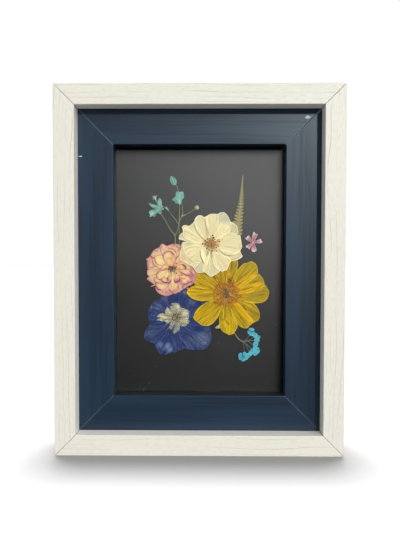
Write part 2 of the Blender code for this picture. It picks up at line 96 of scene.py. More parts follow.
class Wiring:
    """A node tree that grows by one node with each call."""

    def __init__(self, tree):
        self.tree = tree

    def feed(self, socket, value):
        """Link an output to a socket, or set the socket to a plain value."""
        if isinstance(value, bpy.types.NodeSocket):
            self.tree.links.new(value, socket)
        else:
            socket.default_value = value

    def add(self, kind, inputs=(), **settings):
        """Add a node, choose its settings, and fill its inputs by name or number."""
        made = self.tree.nodes.new("ShaderNode" + kind)
        for name, value in settings.items():
            setattr(made, name, value)
        for name, value in dict(inputs).items():
            self.feed(made.inputs[name], value)
        return made

    def math(self, operation, a, b=0.0, c=0.0, clamp=False):
        return self.add("Math", {0: a, 1: b, 2: c}, operation=operation, use_clamp=clamp).outputs[0]

    def times(self, a, b):
        return self.math("MULTIPLY", a, b)

    def parts(self, vector):
        """The X, Y and Z of a vector."""
        return self.add("SeparateXYZ", {0: vector}).outputs


class Finish(Wiring):
    """A material, with one call for each thing that these finishes need."""

    def __init__(self, name, roughness=0.5):
        self.material = bpy.data.materials.new(name)
        self.material.use_nodes = True
        super().__init__(self.material.node_tree)
        self.shader = self.tree.nodes["Principled BSDF"]
        self.shader.inputs["Roughness"].default_value = roughness

    def object_place(self):
        return self.add("TexCoord").outputs["Object"]

    def normal(self):
        """Which way the face looks, without any relief."""
        return self.parts(self.add("NewGeometry").outputs["True Normal"])

    def stored(self, name, kind="Fac"):
        """A value that the mesh stores at each of its points."""
        return self.add("Attribute", attribute_name=name).outputs[kind]

    def stretch(self, vector, scale, move=(0.0, 0.0, 0.0)):
        return self.add("Mapping", {"Vector": vector, "Scale": scale, "Location": move}).outputs[0]

    def noise(self, vector, scale, detail=3.0, rough=0.55, distort=0.0):
        inputs = {"Vector": vector, "Scale": scale, "Detail": detail, "Roughness": rough}
        return self.add("TexNoise", {**inputs, "Distortion": distort}).outputs[0]

    def span(self, value, low, high, to_low=0.0, to_high=1.0):
        """Map a value from one span to another, softly and without going past its ends."""
        inputs = {0: value, 1: low, 2: high, 3: to_low, 4: to_high}
        return self.add("MapRange", inputs, interpolation_type="SMOOTHSTEP").outputs[0]

    def blend(self, share, a, b):
        """Blend two colours. Each is an output, a chart colour of three levels, or a plain value."""
        a, b = [chart(end) if isinstance(end, tuple) and len(end) == 3 else end for end in (a, b)]
        return self.add("Mix", {0: share, 6: a, 7: b}, data_type="RGBA").outputs[2]

    def colour(self, value):
        self.feed(self.shader.inputs["Base Color"], value)

    def relief(self, height, strength, distance):
        """Low relief from a height pattern. Distance is in metres."""
        inputs = {"Height": height, "Strength": strength, "Distance": distance}
        self.feed(self.shader.inputs["Normal"], self.add("Bump", inputs).outputs[0])

    def set(self, **values):
        """Plain values straight on the shader's own sockets."""
        for name, value in values.items():
            self.feed(self.shader.inputs[name.replace("_", " ")], value)


def dress(name, material):
    """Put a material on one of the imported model's nodes."""
    nodes[name].data.materials.clear()
    nodes[name].data.materials.append(material)


# %% [markdown]
# ## Light and floor
# The photograph has one fairly hard light from the upper right, seen in the thin shadows under
# the white lip, and a soft shadow on the floor in front of the frame. So there is a key sun from
# the front, a soft one beside it, and one from above that only reaches the floor. The card has a
# faint sheen that is brightest at the top and has no hard edge of shadow in it, so it gets a
# broader lamp of its own. The sky is plain for matt surfaces. In gloss it is brighter higher up,
# and that is what the glass and the satin paint pick up.

# %% Sky
MIRROR_MIDDLE, MIRROR_SLOPE, MIRROR_TILT = 0.12, 1.2, (0.15, 0.0, 1.0)
MIRROR_DARK, MIRROR_BRIGHT, MIRROR_BEHIND = 0.02, 0.6, 0.35
BEHIND_FROM, BEHIND_TO = -0.1, 0.35
ROOM_MIDDLE, ROOM_SLOPE, ROOM_TILT = 0.5, 0.12, (0.5, 0.0, 1.0)
ROOM_COLOUR, BACKDROP_COLOUR = (0.98, 0.99, 1.0, 1.0), (1.0, 1.0, 1.0, 1.0)

scene.world = bpy.data.worlds.new("studio")
scene.world.use_nodes = True
sky = Wiring(scene.world.node_tree)
sky.tree.nodes.clear()
direction = sky.add("TexCoord").outputs["Generated"]


def sky_slope(tilt, slope, middle):
    """Brightness that grows along one direction of the sky."""
    along = sky.add("VectorMath", {0: direction, 1: tilt}, operation="DOT_PRODUCT").outputs["Value"]
    return sky.math("MULTIPLY_ADD", along, slope, middle)


def sky_mix(share, a, b):
    """One of two brightnesses, or a share of both."""
    return sky.add("Mix", {0: share, 2: a, 3: b}, data_type="FLOAT").outputs[0]


room = sky_slope(ROOM_TILT, ROOM_SLOPE, ROOM_MIDDLE)
mirror = sky_slope(MIRROR_TILT, MIRROR_SLOPE, MIRROR_MIDDLE)
mirror = sky.math("MINIMUM", sky.math("MAXIMUM", mirror, MIRROR_DARK), MIRROR_BRIGHT)
depth = sky.parts(direction)[1]
behind = sky.add("MapRange", {0: depth, 1: BEHIND_FROM, 2: BEHIND_TO, 3: 0.0, 4: 1.0}).outputs[0]
mirror = sky_mix(behind, mirror, MIRROR_BEHIND)
path = sky.add("LightPath").outputs
gloss = sky.math("MAXIMUM", path["Is Glossy Ray"], path["Is Transmission Ray"])
level = sky_mix(gloss, room, mirror)
dim = sky.add("Background", {"Color": ROOM_COLOUR, "Strength": level}).outputs[0]
white = sky.add("Background", {"Color": BACKDROP_COLOUR, "Strength": 1.0}).outputs[0]
mixed = sky.add("MixShader", {0: path["Is Camera Ray"], 1: dim, 2: white}).outputs[0]
sky.add("OutputWorld", {"Surface": mixed})
print("the sky seen in gloss goes from", MIRROR_DARK, "to", MIRROR_BRIGHT)

# %% [markdown]
# The lamps are suns, which reach every part of the frame alike. A wider sun gives softer shadows.
# Light linking says what each one reaches: the key leaves out the black card, the sheen lights
# nothing else, and the lamp from above lights only the floor. That keeps the card's glow and the
# floor's shadow apart from the thin shadows on the frame.

# %% Lamps
def sun(name, travel, strength, spread):
    """A sun whose light travels along a direction. Its spread, in degrees, softens its shadows."""
    lamp = bpy.data.lights.new(name, "SUN")
    lamp.energy = strength
    lamp.angle = radians(spread)
    made = bpy.data.objects.new(name, lamp)
    made.rotation_mode = "QUATERNION"
    made.rotation_quaternion = Vector(travel).to_track_quat("-Z", "Y")
    scene.collection.objects.link(made)
    return made


def linked(name, members, state):
    """A collection for light linking: only its members take part, or all but its members."""
    group = bpy.data.collections.new(name)
    for member in members:
        group.objects.link(member)
    for entry in group.collection_objects:
        entry.light_linking.link_state = state
    return group


key = sun("key", travel=(-0.26, 1.0, -0.30), strength=1.07, spread=3.5)
card = [nodes["black_card"]]
key.light_linking.receiver_collection = linked("all but the card", card, "EXCLUDE")
sun("side", travel=(-0.62, 0.72, -0.62), strength=0.75, spread=40.0)
sheen = sun("sheen", travel=(-0.10, 0.95, -0.14), strength=0.57, spread=14.0)
sheen.light_linking.receiver_collection = linked("only the card", card, "INCLUDE")
overhead = sun("overhead", travel=(0.0, -0.13, -1.0), strength=7.4, spread=13.0)
floor_only = bpy.data.collections.new("lit by the overhead lamp")
overhead.light_linking.receiver_collection = floor_only
scene.view_settings.view_transform = "Standard"
scene.cycles.use_denoising = True
scene.cycles.transparent_max_bounces = 48
scene.cycles.max_bounces = 14

# %% Floor
FLOOR_SIZE, FLOOR_AHEAD, FLOOR_DROP = 8.0, 1.5, 0.00002
FLOOR_GREYS = (0.325, 0.325, 0.325, 1.0), (0.345, 0.345, 0.345, 1.0)


def floor():
    """A wide plain floor that the frame stands on, a hair under it."""
    mesh = bpy.data.meshes.new("floor")
    work = bmesh.new()
    bmesh.ops.create_grid(work, x_segments=8, y_segments=8, size=FLOOR_SIZE / 2)
    work.to_mesh(mesh)
    work.free()
    made = bpy.data.objects.new("floor", mesh)
    made.location = (0.0, FLOOR_SIZE / 2 - FLOOR_AHEAD, -FLOOR_DROP)
    scene.collection.objects.link(made)
    made.visible_diffuse = False
    made.visible_glossy = False
    made.visible_transmission = False
    pale = Finish("pale floor", roughness=0.9)
    mottle = pale.noise(pale.object_place(), scale=3.0)
    pale.colour(pale.blend(mottle, *FLOOR_GREYS))
    mesh.materials.append(pale.material)
    floor_only.objects.link(made)


floor()

# %% [markdown]
# ## White paint
# The outer moulding is a white-painted strip with a woodgrain pressed into it. The grain runs
# along each rail: a few long, thin, wavering lines and a fine mottle between them. Both come from
# noise that is stretched along the rail, so upright rails need it turned by 90 degrees. The inner
# wall of the strip is painted a plainer and whiter colour, as painted light on the recess walls.

# %% White painted wood
HALF_WIDTH, HALF_DEPTH, HEIGHT = 0.098, 0.019, 0.251
GRAIN_GAP, GRAIN_LINE = 0.0042, 0.00024
GRAIN_BEND = 3.4
GRAIN_AXES = {"top": "X", "bottom": "X", "left": "Z", "right": "Z"}
# How finely each pattern is divided along the rail, across it, and into it.
BEND_SCALE, FADE_SCALE = (7.0, 55.0, 55.0), (24.0, 120.0, 120.0)
MOTTLE_SCALE, CLOUD_SCALE = (240.0, 1100.0, 1100.0), (14.0, 70.0, 70.0)
# Each rail shows another stretch of the patterns.
WHITE_SHIFTS = {
    "top": (0.0, 0.0, 0.0),
    "bottom": (3.1, 1.7, 0.0),
    "left": (5.3, 4.1, 0.0),
    "right": (8.9, 2.2, 0.0),
}


def along_rail(finish, axis):
    """Object coordinates turned so that X runs along the rail."""
    x, y, z = finish.parts(finish.object_place())
    order = (x, z, y) if axis == "X" else (z, x, y)
    return finish.add("CombineXYZ", dict(enumerate(order))).outputs[0]


def from_outside(finish):
    """How far a place is from the nearer upright side of the frame, and from its top or bottom."""
    x, _, z = finish.parts(finish.object_place())
    from_side = finish.math("SUBTRACT", HALF_WIDTH, finish.math("ABSOLUTE", x))
    from_middle = finish.math("ABSOLUTE", finish.math("SUBTRACT", z, HEIGHT / 2))
    return from_side, finish.math("SUBTRACT", HEIGHT / 2, from_middle)


def recess_wall_painted_light(finish):
    """Where light is painted: 1 on the walls of the recess, 0 on the front, the back and the outer sides."""
    sideways = finish.span(finish.math("ABSOLUTE", finish.normal()[1]), 0.3, 0.7, 1.0, 0.0)
    inside = finish.span(finish.math("MINIMUM", *from_outside(finish)), 0.001, 0.003)
    return finish.times(sideways, inside)


def grain_lines(finish, place, shift):
    """Long thin lines of woodgrain: rows across the rail that noise bends and breaks up."""
    bend = finish.noise(finish.stretch(place, BEND_SCALE, shift), scale=1.0, detail=2.0)
    _, across, back = finish.parts(place)
    rows = finish.math("ADD", across, finish.math("ADD", back, HALF_DEPTH))
    rows = finish.math("ADD", finish.math("DIVIDE", rows, GRAIN_GAP), finish.times(bend, GRAIN_BEND))
    away = finish.math("ABSOLUTE", finish.math("SUBTRACT", finish.math("FRACT", rows), 0.5))
    fade = finish.noise(finish.stretch(place, FADE_SCALE, shift), scale=1.0, detail=2.0)
    line = finish.span(away, 0.0, GRAIN_LINE / GRAIN_GAP, 1.0, 0.0)
    return finish.times(line, finish.span(fade, 0.38, 0.6))


def white_paint(side):
    """White paint over pressed woodgrain."""
    paint = Finish("white painted wood " + side, roughness=0.48)
    place = along_rail(paint, GRAIN_AXES[side])
    shift = WHITE_SHIFTS[side]
    lines = grain_lines(paint, place, shift)
    mottle = paint.noise(paint.stretch(place, MOTTLE_SCALE, shift), scale=1.0, detail=4.0, rough=0.65)
    cloud = paint.noise(paint.stretch(place, CLOUD_SCALE, shift), scale=1.0, detail=2.0)
    body = paint.blend(cloud, (244, 241, 228), (240, 236, 223))
    body = paint.blend(paint.span(mottle, 0.42, 0.66, 0.0, 0.45), body, (226, 220, 204))
    body = paint.blend(paint.times(lines, 0.55), body, (178, 169, 150))
    # Painted light: the walls of the recess get a plainer, brighter white.
    body = paint.blend(paint.times(recess_wall_painted_light(paint), 0.85), body, (255, 252, 246))
    paint.colour(body)
    height = paint.math("SUBTRACT", paint.times(mottle, 0.35), lines)
    paint.relief(height, strength=0.55, distance=0.00012)
    paint.feed(paint.shader.inputs["Roughness"], paint.span(mottle, 0.3, 0.7, 0.42, 0.56))
    return paint.material


for side in GRAIN_AXES:
    dress("outer_rail_" + side, white_paint(side))
print("white paint on", len(GRAIN_AXES), "rails")

# %% [markdown]
# ## Navy paint
# The inner moulding has a satin navy paint over open grain. The grain shows as long dark streaks
# along the rail. A pale line along the mitres is a painted highlight, wider at the upper right where
# the joint is in shade, and the upward-facing sill of the recess is darkened as painted shade. The
# satin picks up the lamp at the upper right, so that corner looks greyer than the bottom left.

# %% Navy painted wood
# Widths, in metres, of the painted highlight along the mitres and of its wider part at the upper right.
MITRE_HIGHLIGHT, UPPER_RIGHT_HIGHLIGHT = 0.0006, 0.0011
PORE_SCALE, PATCH_SCALE = (15.0, 950.0, 950.0), (6.0, 90.0, 90.0)
NAVY_SHIFTS = {
    "top": (1.0, 0.0, 0.0),
    "bottom": (4.1, 2.7, 0.0),
    "left": (7.3, 5.1, 0.0),
    "right": (2.9, 8.2, 0.0),
}
# Scuffs in metres: X, Z, half width, half height.
SCUFFS = [(0.0744, 0.2312, 0.0026, 0.0013), (-0.0822, 0.2045, 0.0018, 0.0005)]


def mitre_highlight(finish):
    """Painted highlight in thin pale lines where rails meet: the places as far from one outer side
    as from the next. They are fainter at the bottom, and wider at the upper right, where they paint
    light over the joint's shade."""
    from_side, from_end = from_outside(finish)
    apart = finish.math("ABSOLUTE", finish.math("SUBTRACT", from_side, from_end))
    x, _, z = finish.parts(finish.object_place())
    line = finish.span(apart, MITRE_HIGHLIGHT * 0.5, MITRE_HIGHLIGHT, 1.0, 0.0)
    line = finish.times(line, finish.span(z, 0.08, 0.17, 0.42, 0.8))
    wide = finish.span(apart, UPPER_RIGHT_HIGHLIGHT * 0.5, UPPER_RIGHT_HIGHLIGHT, 0.5, 0.0)
    wide = finish.times(wide, finish.span(finish.math("ADD", x, z), 0.2, 0.26))
    return finish.math("MAXIMUM", line, wide)


def sill(finish):
    """How far a face looks straight up: the sill of the recess, painted near black as painted shade."""
    return finish.span(finish.normal()[2], 0.6, 0.9, 0.0, 0.85)


def scuff(finish, x, z, half_width, half_height):
    """A small broken white scuff at one place on the front of the paint."""
    at_x, _, at_z = finish.parts(finish.object_place())
    across = finish.math("DIVIDE", finish.math("SUBTRACT", at_x, x), half_width)
    up = finish.math("DIVIDE", finish.math("SUBTRACT", at_z, z), half_height)
    far = finish.math("ADD", finish.math("POWER", across, 2.0), finish.math("POWER", up, 2.0))
    ragged = finish.noise(finish.object_place(), scale=1500.0, detail=3.0, rough=0.7)
    marked = finish.span(finish.math("ADD", far, finish.times(ragged, 2.6)), 1.5, 2.0, 1.0, 0.0)
    return finish.times(marked, finish.span(finish.normal()[1], -0.7, -0.3, 1.0, 0.0))


def navy_paint(side):
    """Satin navy paint over open-pored wood."""
    paint = Finish("navy painted wood " + side, roughness=0.36)
    place = along_rail(paint, GRAIN_AXES[side])
    shift = NAVY_SHIFTS[side]
    pores = paint.noise(paint.stretch(place, PORE_SCALE, shift), scale=1.0, detail=4.0, rough=0.6)
    patches = paint.noise(paint.stretch(place, PATCH_SCALE, shift), scale=1.0, detail=2.0)
    patches = paint.span(patches, 0.36, 0.62)
    streaks = paint.times(paint.span(pores, 0.46, 0.66), paint.span(patches, 0.0, 1.0, 0.25, 1.0))
    body = paint.blend(patches, (31, 53, 75), (26, 45, 65))
    body = paint.blend(paint.times(streaks, 0.55), body, (12, 19, 26))
    # Painted highlight: pale lines along the mitres.
    body = paint.blend(mitre_highlight(paint), body, (146, 162, 172))
    scuffs = [scuff(paint, *size) for size in SCUFFS]
    body = paint.blend(paint.math("MAXIMUM", *scuffs), body, (214, 214, 206))
    # Painted shade: the sill of the recess is darkened to near black and made rougher.
    shaded_sill = sill(paint)
    body = paint.blend(shaded_sill, body, (10, 15, 17))
    paint.colour(body)
    paint.relief(paint.times(streaks, -1.0), strength=0.12, distance=0.0001)
    gloss = paint.span(streaks, 0.0, 1.0, 0.37, 0.42)
    paint.feed(paint.shader.inputs["Roughness"], paint.math("ADD", gloss, paint.times(shaded_sill, 0.5)))
    paint.set(Specular_IOR_Level=0.44, Specular_Tint=(0.86, 0.96, 1.0, 1.0))
    return paint.material


for side in GRAIN_AXES:
    dress("inner_rail_" + side, navy_paint(side))

# %% [markdown]
# ## Glass, card, board and tabs
# The pane is plain clear glass. Its shader lets lamp light straight through, so that the flowers
# behind it are lit without waiting for light to find its way through two surfaces. Every other
# ray meets real glass, which bends and mirrors it.

# %% Picture glass
def picture_glass():
    """Clear glass that lets lamp light through."""
    glass = Finish("picture glass", roughness=0.0)
    glass.set(Base_Color=(0.985, 0.99, 0.985, 1.0), Transmission_Weight=1.0, IOR=1.5)
    clear = glass.add("BsdfTransparent", {"Color": (0.94, 0.95, 0.94, 1.0)}).outputs[0]
    shadow = glass.add("LightPath").outputs["Is Shadow Ray"]
    both = glass.add("MixShader", {0: shadow, 1: glass.shader.outputs[0], 2: clear}).outputs[0]
    glass.feed(glass.tree.nodes["Material Output"].inputs["Surface"], both)
    return glass.material


dress("glass_pane", picture_glass())

# %% [markdown]
# The card is nearly black, so its look is made of small things: a fine and very faint tooth, a
# slight unevenness of the black, and a sheen where a lamp is reflected.

# %% Black card
def black_paper():
    """Black card with a low sheen and a fine tooth."""
    paper = Finish("black card", roughness=0.35)
    place = paper.object_place()
    tooth = paper.noise(place, scale=2600.0, detail=4.0, rough=0.7)
    cloud = paper.noise(place, scale=18.0, detail=2.0)
    body = paper.blend(tooth, (11, 11, 11), (16, 15, 15))
    paper.colour(paper.blend(paper.times(cloud, 0.5), body, (15, 14, 13)))
    paper.relief(tooth, strength=0.004, distance=0.00002)
    paper.set(Specular_IOR_Level=0.5)
    return paper.material


dress("black_card", black_paper())

# %% [markdown]
# The back isn't seen in the photograph. A pressed fibre board is usual there, and four small steel
# tabs hold it. Noise stretched one way gives the board's fibres, and noise stretched far more gives
# the fine scratches of rolled steel.

# %% Backing board and tabs
FIBRE_SCALE, SCRATCH_SCALE = (900.0, 900.0, 260.0), (60.0, 60.0, 3200.0)


def brown_board():
    """Hardboard: pressed brown fibres with darker flecks."""
    board = Finish("brown board", roughness=0.85)
    place = board.object_place()
    upright = board.stretch(place, FIBRE_SCALE)
    fibres = board.noise(upright, scale=1.0, detail=5.0, rough=0.7, distort=0.6)
    flecks = board.span(board.noise(place, scale=420.0, detail=3.0, rough=0.7), 0.60, 0.72)
    cloud = board.noise(place, scale=25.0, detail=3.0)
    body = board.blend(fibres, (150, 116, 80), (118, 86, 56))
    body = board.blend(board.times(cloud, 0.5), body, (132, 98, 62))
    board.colour(board.blend(board.times(flecks, 0.6), body, (74, 52, 34)))
    board.relief(fibres, strength=0.6, distance=0.0002)
    return board.material


def tab_steel():
    """Bright rolled steel with fine lengthways scratches."""
    steel = Finish("tab steel", roughness=0.34)
    steel.set(Metallic=1.0)
    place = steel.stretch(steel.object_place(), SCRATCH_SCALE)
    scratches = steel.noise(place, scale=1.0, detail=3.0, rough=0.7)
    steel.colour(steel.blend(scratches, (176, 176, 174), (208, 208, 206)))
    steel.feed(steel.shader.inputs["Roughness"], steel.span(scratches, 0.3, 0.7, 0.26, 0.46))
    steel.relief(scratches, strength=0.2, distance=0.00005)
    return steel.material


dress("backing_board", brown_board())
steel = tab_steel()
for name in nodes:
    if name.startswith("board_tab"):
        dress(name, steel)

# %% [markdown]
# ## From the photograph to the petals' planes
# The petals were traced in the photograph, so their outlines are kept in its pixels. A
# straight line from the camera through a pixel meets the plane of the petal's layer at one place.
# The pane bends the view a little, which moves that plane 0.67 mm nearer. The layers go from the
# card towards the glass, 0.42 mm apart.

# %% A pixel's place in a layer
PHOTO_WIDTH, PHOTO_HEIGHT = 400, 548
FOCAL_PIXELS = PHOTO_HEIGHT * LENS / SENSOR
GLASS_SHIFT = 0.67
LAYER_STEP, FIRST_GAP = 0.42, 0.36
PIXEL_MM = 0.72
card_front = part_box("black_card")[0].y / MM
glass_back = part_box("glass_pane")[1].y / MM
camera_turn = camera.rotation_euler.to_matrix()
camera_mm = Vector(CAMERA_PLACE) / MM


def layer_plane(layer):
    """How far back a layer lies, in millimetres along Y."""
    return card_front - FIRST_GAP - LAYER_STEP * layer


def at_pixel(u, v, layer):
    """The place in a layer's plane that one pixel shows: X and Z in millimetres."""
    ray = camera_turn @ Vector((u - PHOTO_WIDTH / 2, PHOTO_HEIGHT / 2 - v, -FOCAL_PIXELS))
    reach = (layer_plane(layer) - GLASS_SHIFT - camera_mm.y) / ray.y
    place = camera_mm + ray * reach
    return np.array((place.x, place.z))


print("room for the flowers:", round(card_front - glass_back, 2), "mm")

# %% [markdown]
# ## A petal as a fan
# A dried petal is a sheet thinner than paper, grown from a narrow foot. Its veins leave the foot
# and spread to the margin. A fan mesh has the same layout: rays from the foot to points on a smooth
# outline, and steps along each ray. The mesh also stores how far along its ray each point lies, how
# far it is from the margin, and how many petals lie behind it. The finish reads these. A flat
# outline filled by a modifier would be quicker, but it would have no rays for the veins to follow.

# %% Smooth outlines
SPAN_POINTS = 10


def smooth_line(points, per_span=SPAN_POINTS):
    """A smooth curve through points, sampled evenly between each two."""
    points = np.array(points, float)
    padded = np.vstack([2 * points[0] - points[1], points, 2 * points[-1] - points[-2]])
    t = np.linspace(0, 1, per_span, endpoint=False)[:, None]
    line = []
    for a, b, c, d in zip(padded, padded[1:], padded[2:], padded[3:]):
        square, cube = 2 * a - 5 * b + 4 * c - d, 3 * b - a - 3 * c + d
        line.append(0.5 * (2 * b + (c - a) * t + square * t**2 + cube * t**3))
    return np.vstack(line + [points[-1:]])


def spaced(line, count):
    """Points at equal distances along a line, where they lie among its own points, and its
    length."""
    steps = np.linalg.norm(np.diff(line, axis=0), axis=1)
    reach = np.concatenate([[0.0], np.cumsum(steps)])
    wanted = np.linspace(0, reach[-1], count)
    index = np.interp(wanted, reach, np.arange(len(line)))
    even = np.stack([np.interp(wanted, reach, line[:, k]) for k in range(line.shape[1])], axis=1)
    return even, index, reach[-1]


def edge_distance(points, outline):
    """How far each point lies from a closed outline: positive inside, negative outside."""
    start, end = outline, np.roll(outline, -1, axis=0)
    run = end - start
    along = ((points[:, None] - start) * run).sum(2) / np.maximum((run**2).sum(1), 1e-9)
    nearest = start + np.clip(along, 0, 1)[..., None] * run
    distance = np.linalg.norm(points[:, None] - nearest, axis=2).min(1)
    above = (start[:, 1] > points[:, None, 1]) != (end[:, 1] > points[:, None, 1])
    rise = np.where(np.abs(run[:, 1]) < 1e-9, 1e-9, run[:, 1])
    crossing = start[:, 0] + (points[:, None, 1] - start[:, 1]) / rise * run[:, 0]
    inside = (above & (points[:, None, 0] < crossing)).sum(1) % 2 == 1
    return np.where(inside, distance, -distance)


def traced(pixels, layer):
    """A traced outline as places in a layer's plane."""
    return [at_pixel(u, v, layer) for u, v in pixels]


# %% [markdown]
# A sheet is never quite flat. It has a low relief, pleats along its veins, and a margin that curls
# up or is folded over. The fan adds them up as a rise toward the glass and stops short of the pane.
# Two more things are stored with each point. Soft patches say where the photograph shows a petal
# greyer, warmer or paler, and drawn lines say where it shows a fold, a rim or a strong vein. Along
# folds and lifted borders the dark lines are painted shade and the light lines painted highlights,
# and some pale patches are painted highlights too. The mesh is fine enough to carry both, so no
# picture has to be laid on the petals.

# %% The fan
RAY_GAP, STEP_GAP, STEP_CROWDING = 0.5, 0.62, 1.35
OUTLINE_POINTS = 90
SEED_STEP = 7.3
PETAL_THICKNESS = 0.05
LINE_HALF = 0.5
WAVE_RATE, RAG_RATE = 2.2, 5.5
RELIEF_RATE, PLEAT_RATE, PLEAT_WANDER = 0.8, 2.6, 2.5
CURL_REACH, LIFT_REACH, GLASS_ROOM = 0.45, 1.6, 0.15
PATCH_REACH = 1.35
MARKS, LINES = ("grey", "warm", "pale"), ("dark", "tint", "light")
RIM_OF_STEMS, COVER_OF_STEMS = 9, 2


class Petal:
    """One petal: its outline, the layer it lies in, and the part of its margin that is lifted."""

    def __init__(self, layer, places, seed, lift=None):
        self.layer, self.lift, self.seed = layer, lift, seed
        self.spans = smooth_line(places)
        self.outline = spaced(self.spans, OUTLINE_POINTS)[0]
        self.foot = (self.spans[0] + self.spans[-1]) / 2


def soft_noise(x, y, seed):
    """Smooth noise for arrays, as a sum of a few waves in seeded directions."""
    chance = np.random.default_rng(seed)
    total = 0.0
    for _ in range(6):
        turn, rate, shift = chance.uniform(0, tau), chance.uniform(0.6, 1.6), chance.uniform(0, tau)
        total = total + np.sin(rate * (x * cos(turn) + y * sin(turn)) + shift)
    return total / 6


def veins_beside(petal, points, reach, length, spread):
    """How far to the side of the petal's axis a point's vein runs. A vein leaves the foot and then
    runs on: beside the axis where spread is 0, straight away from the foot where it is 1."""
    axis = petal.outline.mean(0) - petal.foot
    axis /= np.linalg.norm(axis)
    away = points - petal.foot
    ahead, beside = away @ axis, away @ np.array((-axis[1], axis[0]))
    level = beside / np.clip(0.35 + 1.3 * reach, 0, 1)
    turned = np.arctan2(beside, ahead) * length * 0.6
    return level * (1 - spread) + turned * spread


def patches_at(points, layer, patches):
    """How strongly soft patches tint each point: grey, warm and pale."""
    tint = np.zeros((len(points), len(MARKS)))
    for kind, rows in dict(patches).items():
        column = tint[:, MARKS.index(kind)]
        for u, v, wide, high, turn, strength in rows:
            away = points - at_pixel(u, v, layer)
            c, s = cos(radians(turn)), sin(radians(turn))
            along, up = away[:, 0] * c + away[:, 1] * s, away[:, 1] * c - away[:, 0] * s
            far = np.sqrt((along / (wide * PIXEL_MM)) ** 2 + (up / (high * PIXEL_MM)) ** 2)
            amount = np.clip(PATCH_REACH - far, 0, 1)
            np.maximum(column, strength * amount**2 * (3 - 2 * amount), out=column)
    return tint


def line_at(points, path, strength, width):
    """How strongly one drawn line shades each point. It fades at its ends."""
    run = np.diff(path, axis=0)
    along = np.clip(((points[:, None] - path[:-1]) * run).sum(2) / (run**2).sum(1), 0, 1)
    away = np.linalg.norm(points[:, None] - path[:-1] - along[..., None] * run, axis=2)
    nearest = away.argmin(1)
    share = (nearest + along[np.arange(len(points)), nearest]) / len(run)
    fade = np.clip(5 * np.minimum(share, 1 - share) + 0.3, 0, 1)
    return strength * fade * np.exp(-((away.min(1) / (LINE_HALF * width)) ** 2))


def lines_at(points, layer, lines):
    """How strongly all drawn lines shade each point: dark, tint and light."""
    shade = np.zeros((len(points), len(LINES)))
    low, high = points.min(0) - 1, points.max(0) + 1
    for kind, rows in dict(lines).items():
        column = shade[:, LINES.index(kind)]
        for strength, width, pixels in rows:
            path = smooth_line(traced(pixels, layer), per_span=4)
            if (path.max(0) >= low).all() and (path.min(0) <= high).all():
                np.maximum(column, line_at(points, path, strength, width), out=column)
    return shade


def plain_values(count, reach=0.6):
    """Stored values for a stem or ray that is part of a petal's piece."""
    none, blank = np.zeros(count), np.zeros((count, 3))
    plain = {"reach": none + reach, "rim": none + RIM_OF_STEMS, "cover": none + COVER_OF_STEMS}
    return {"vein": blank, **plain, "marks": blank, "lines": blank}


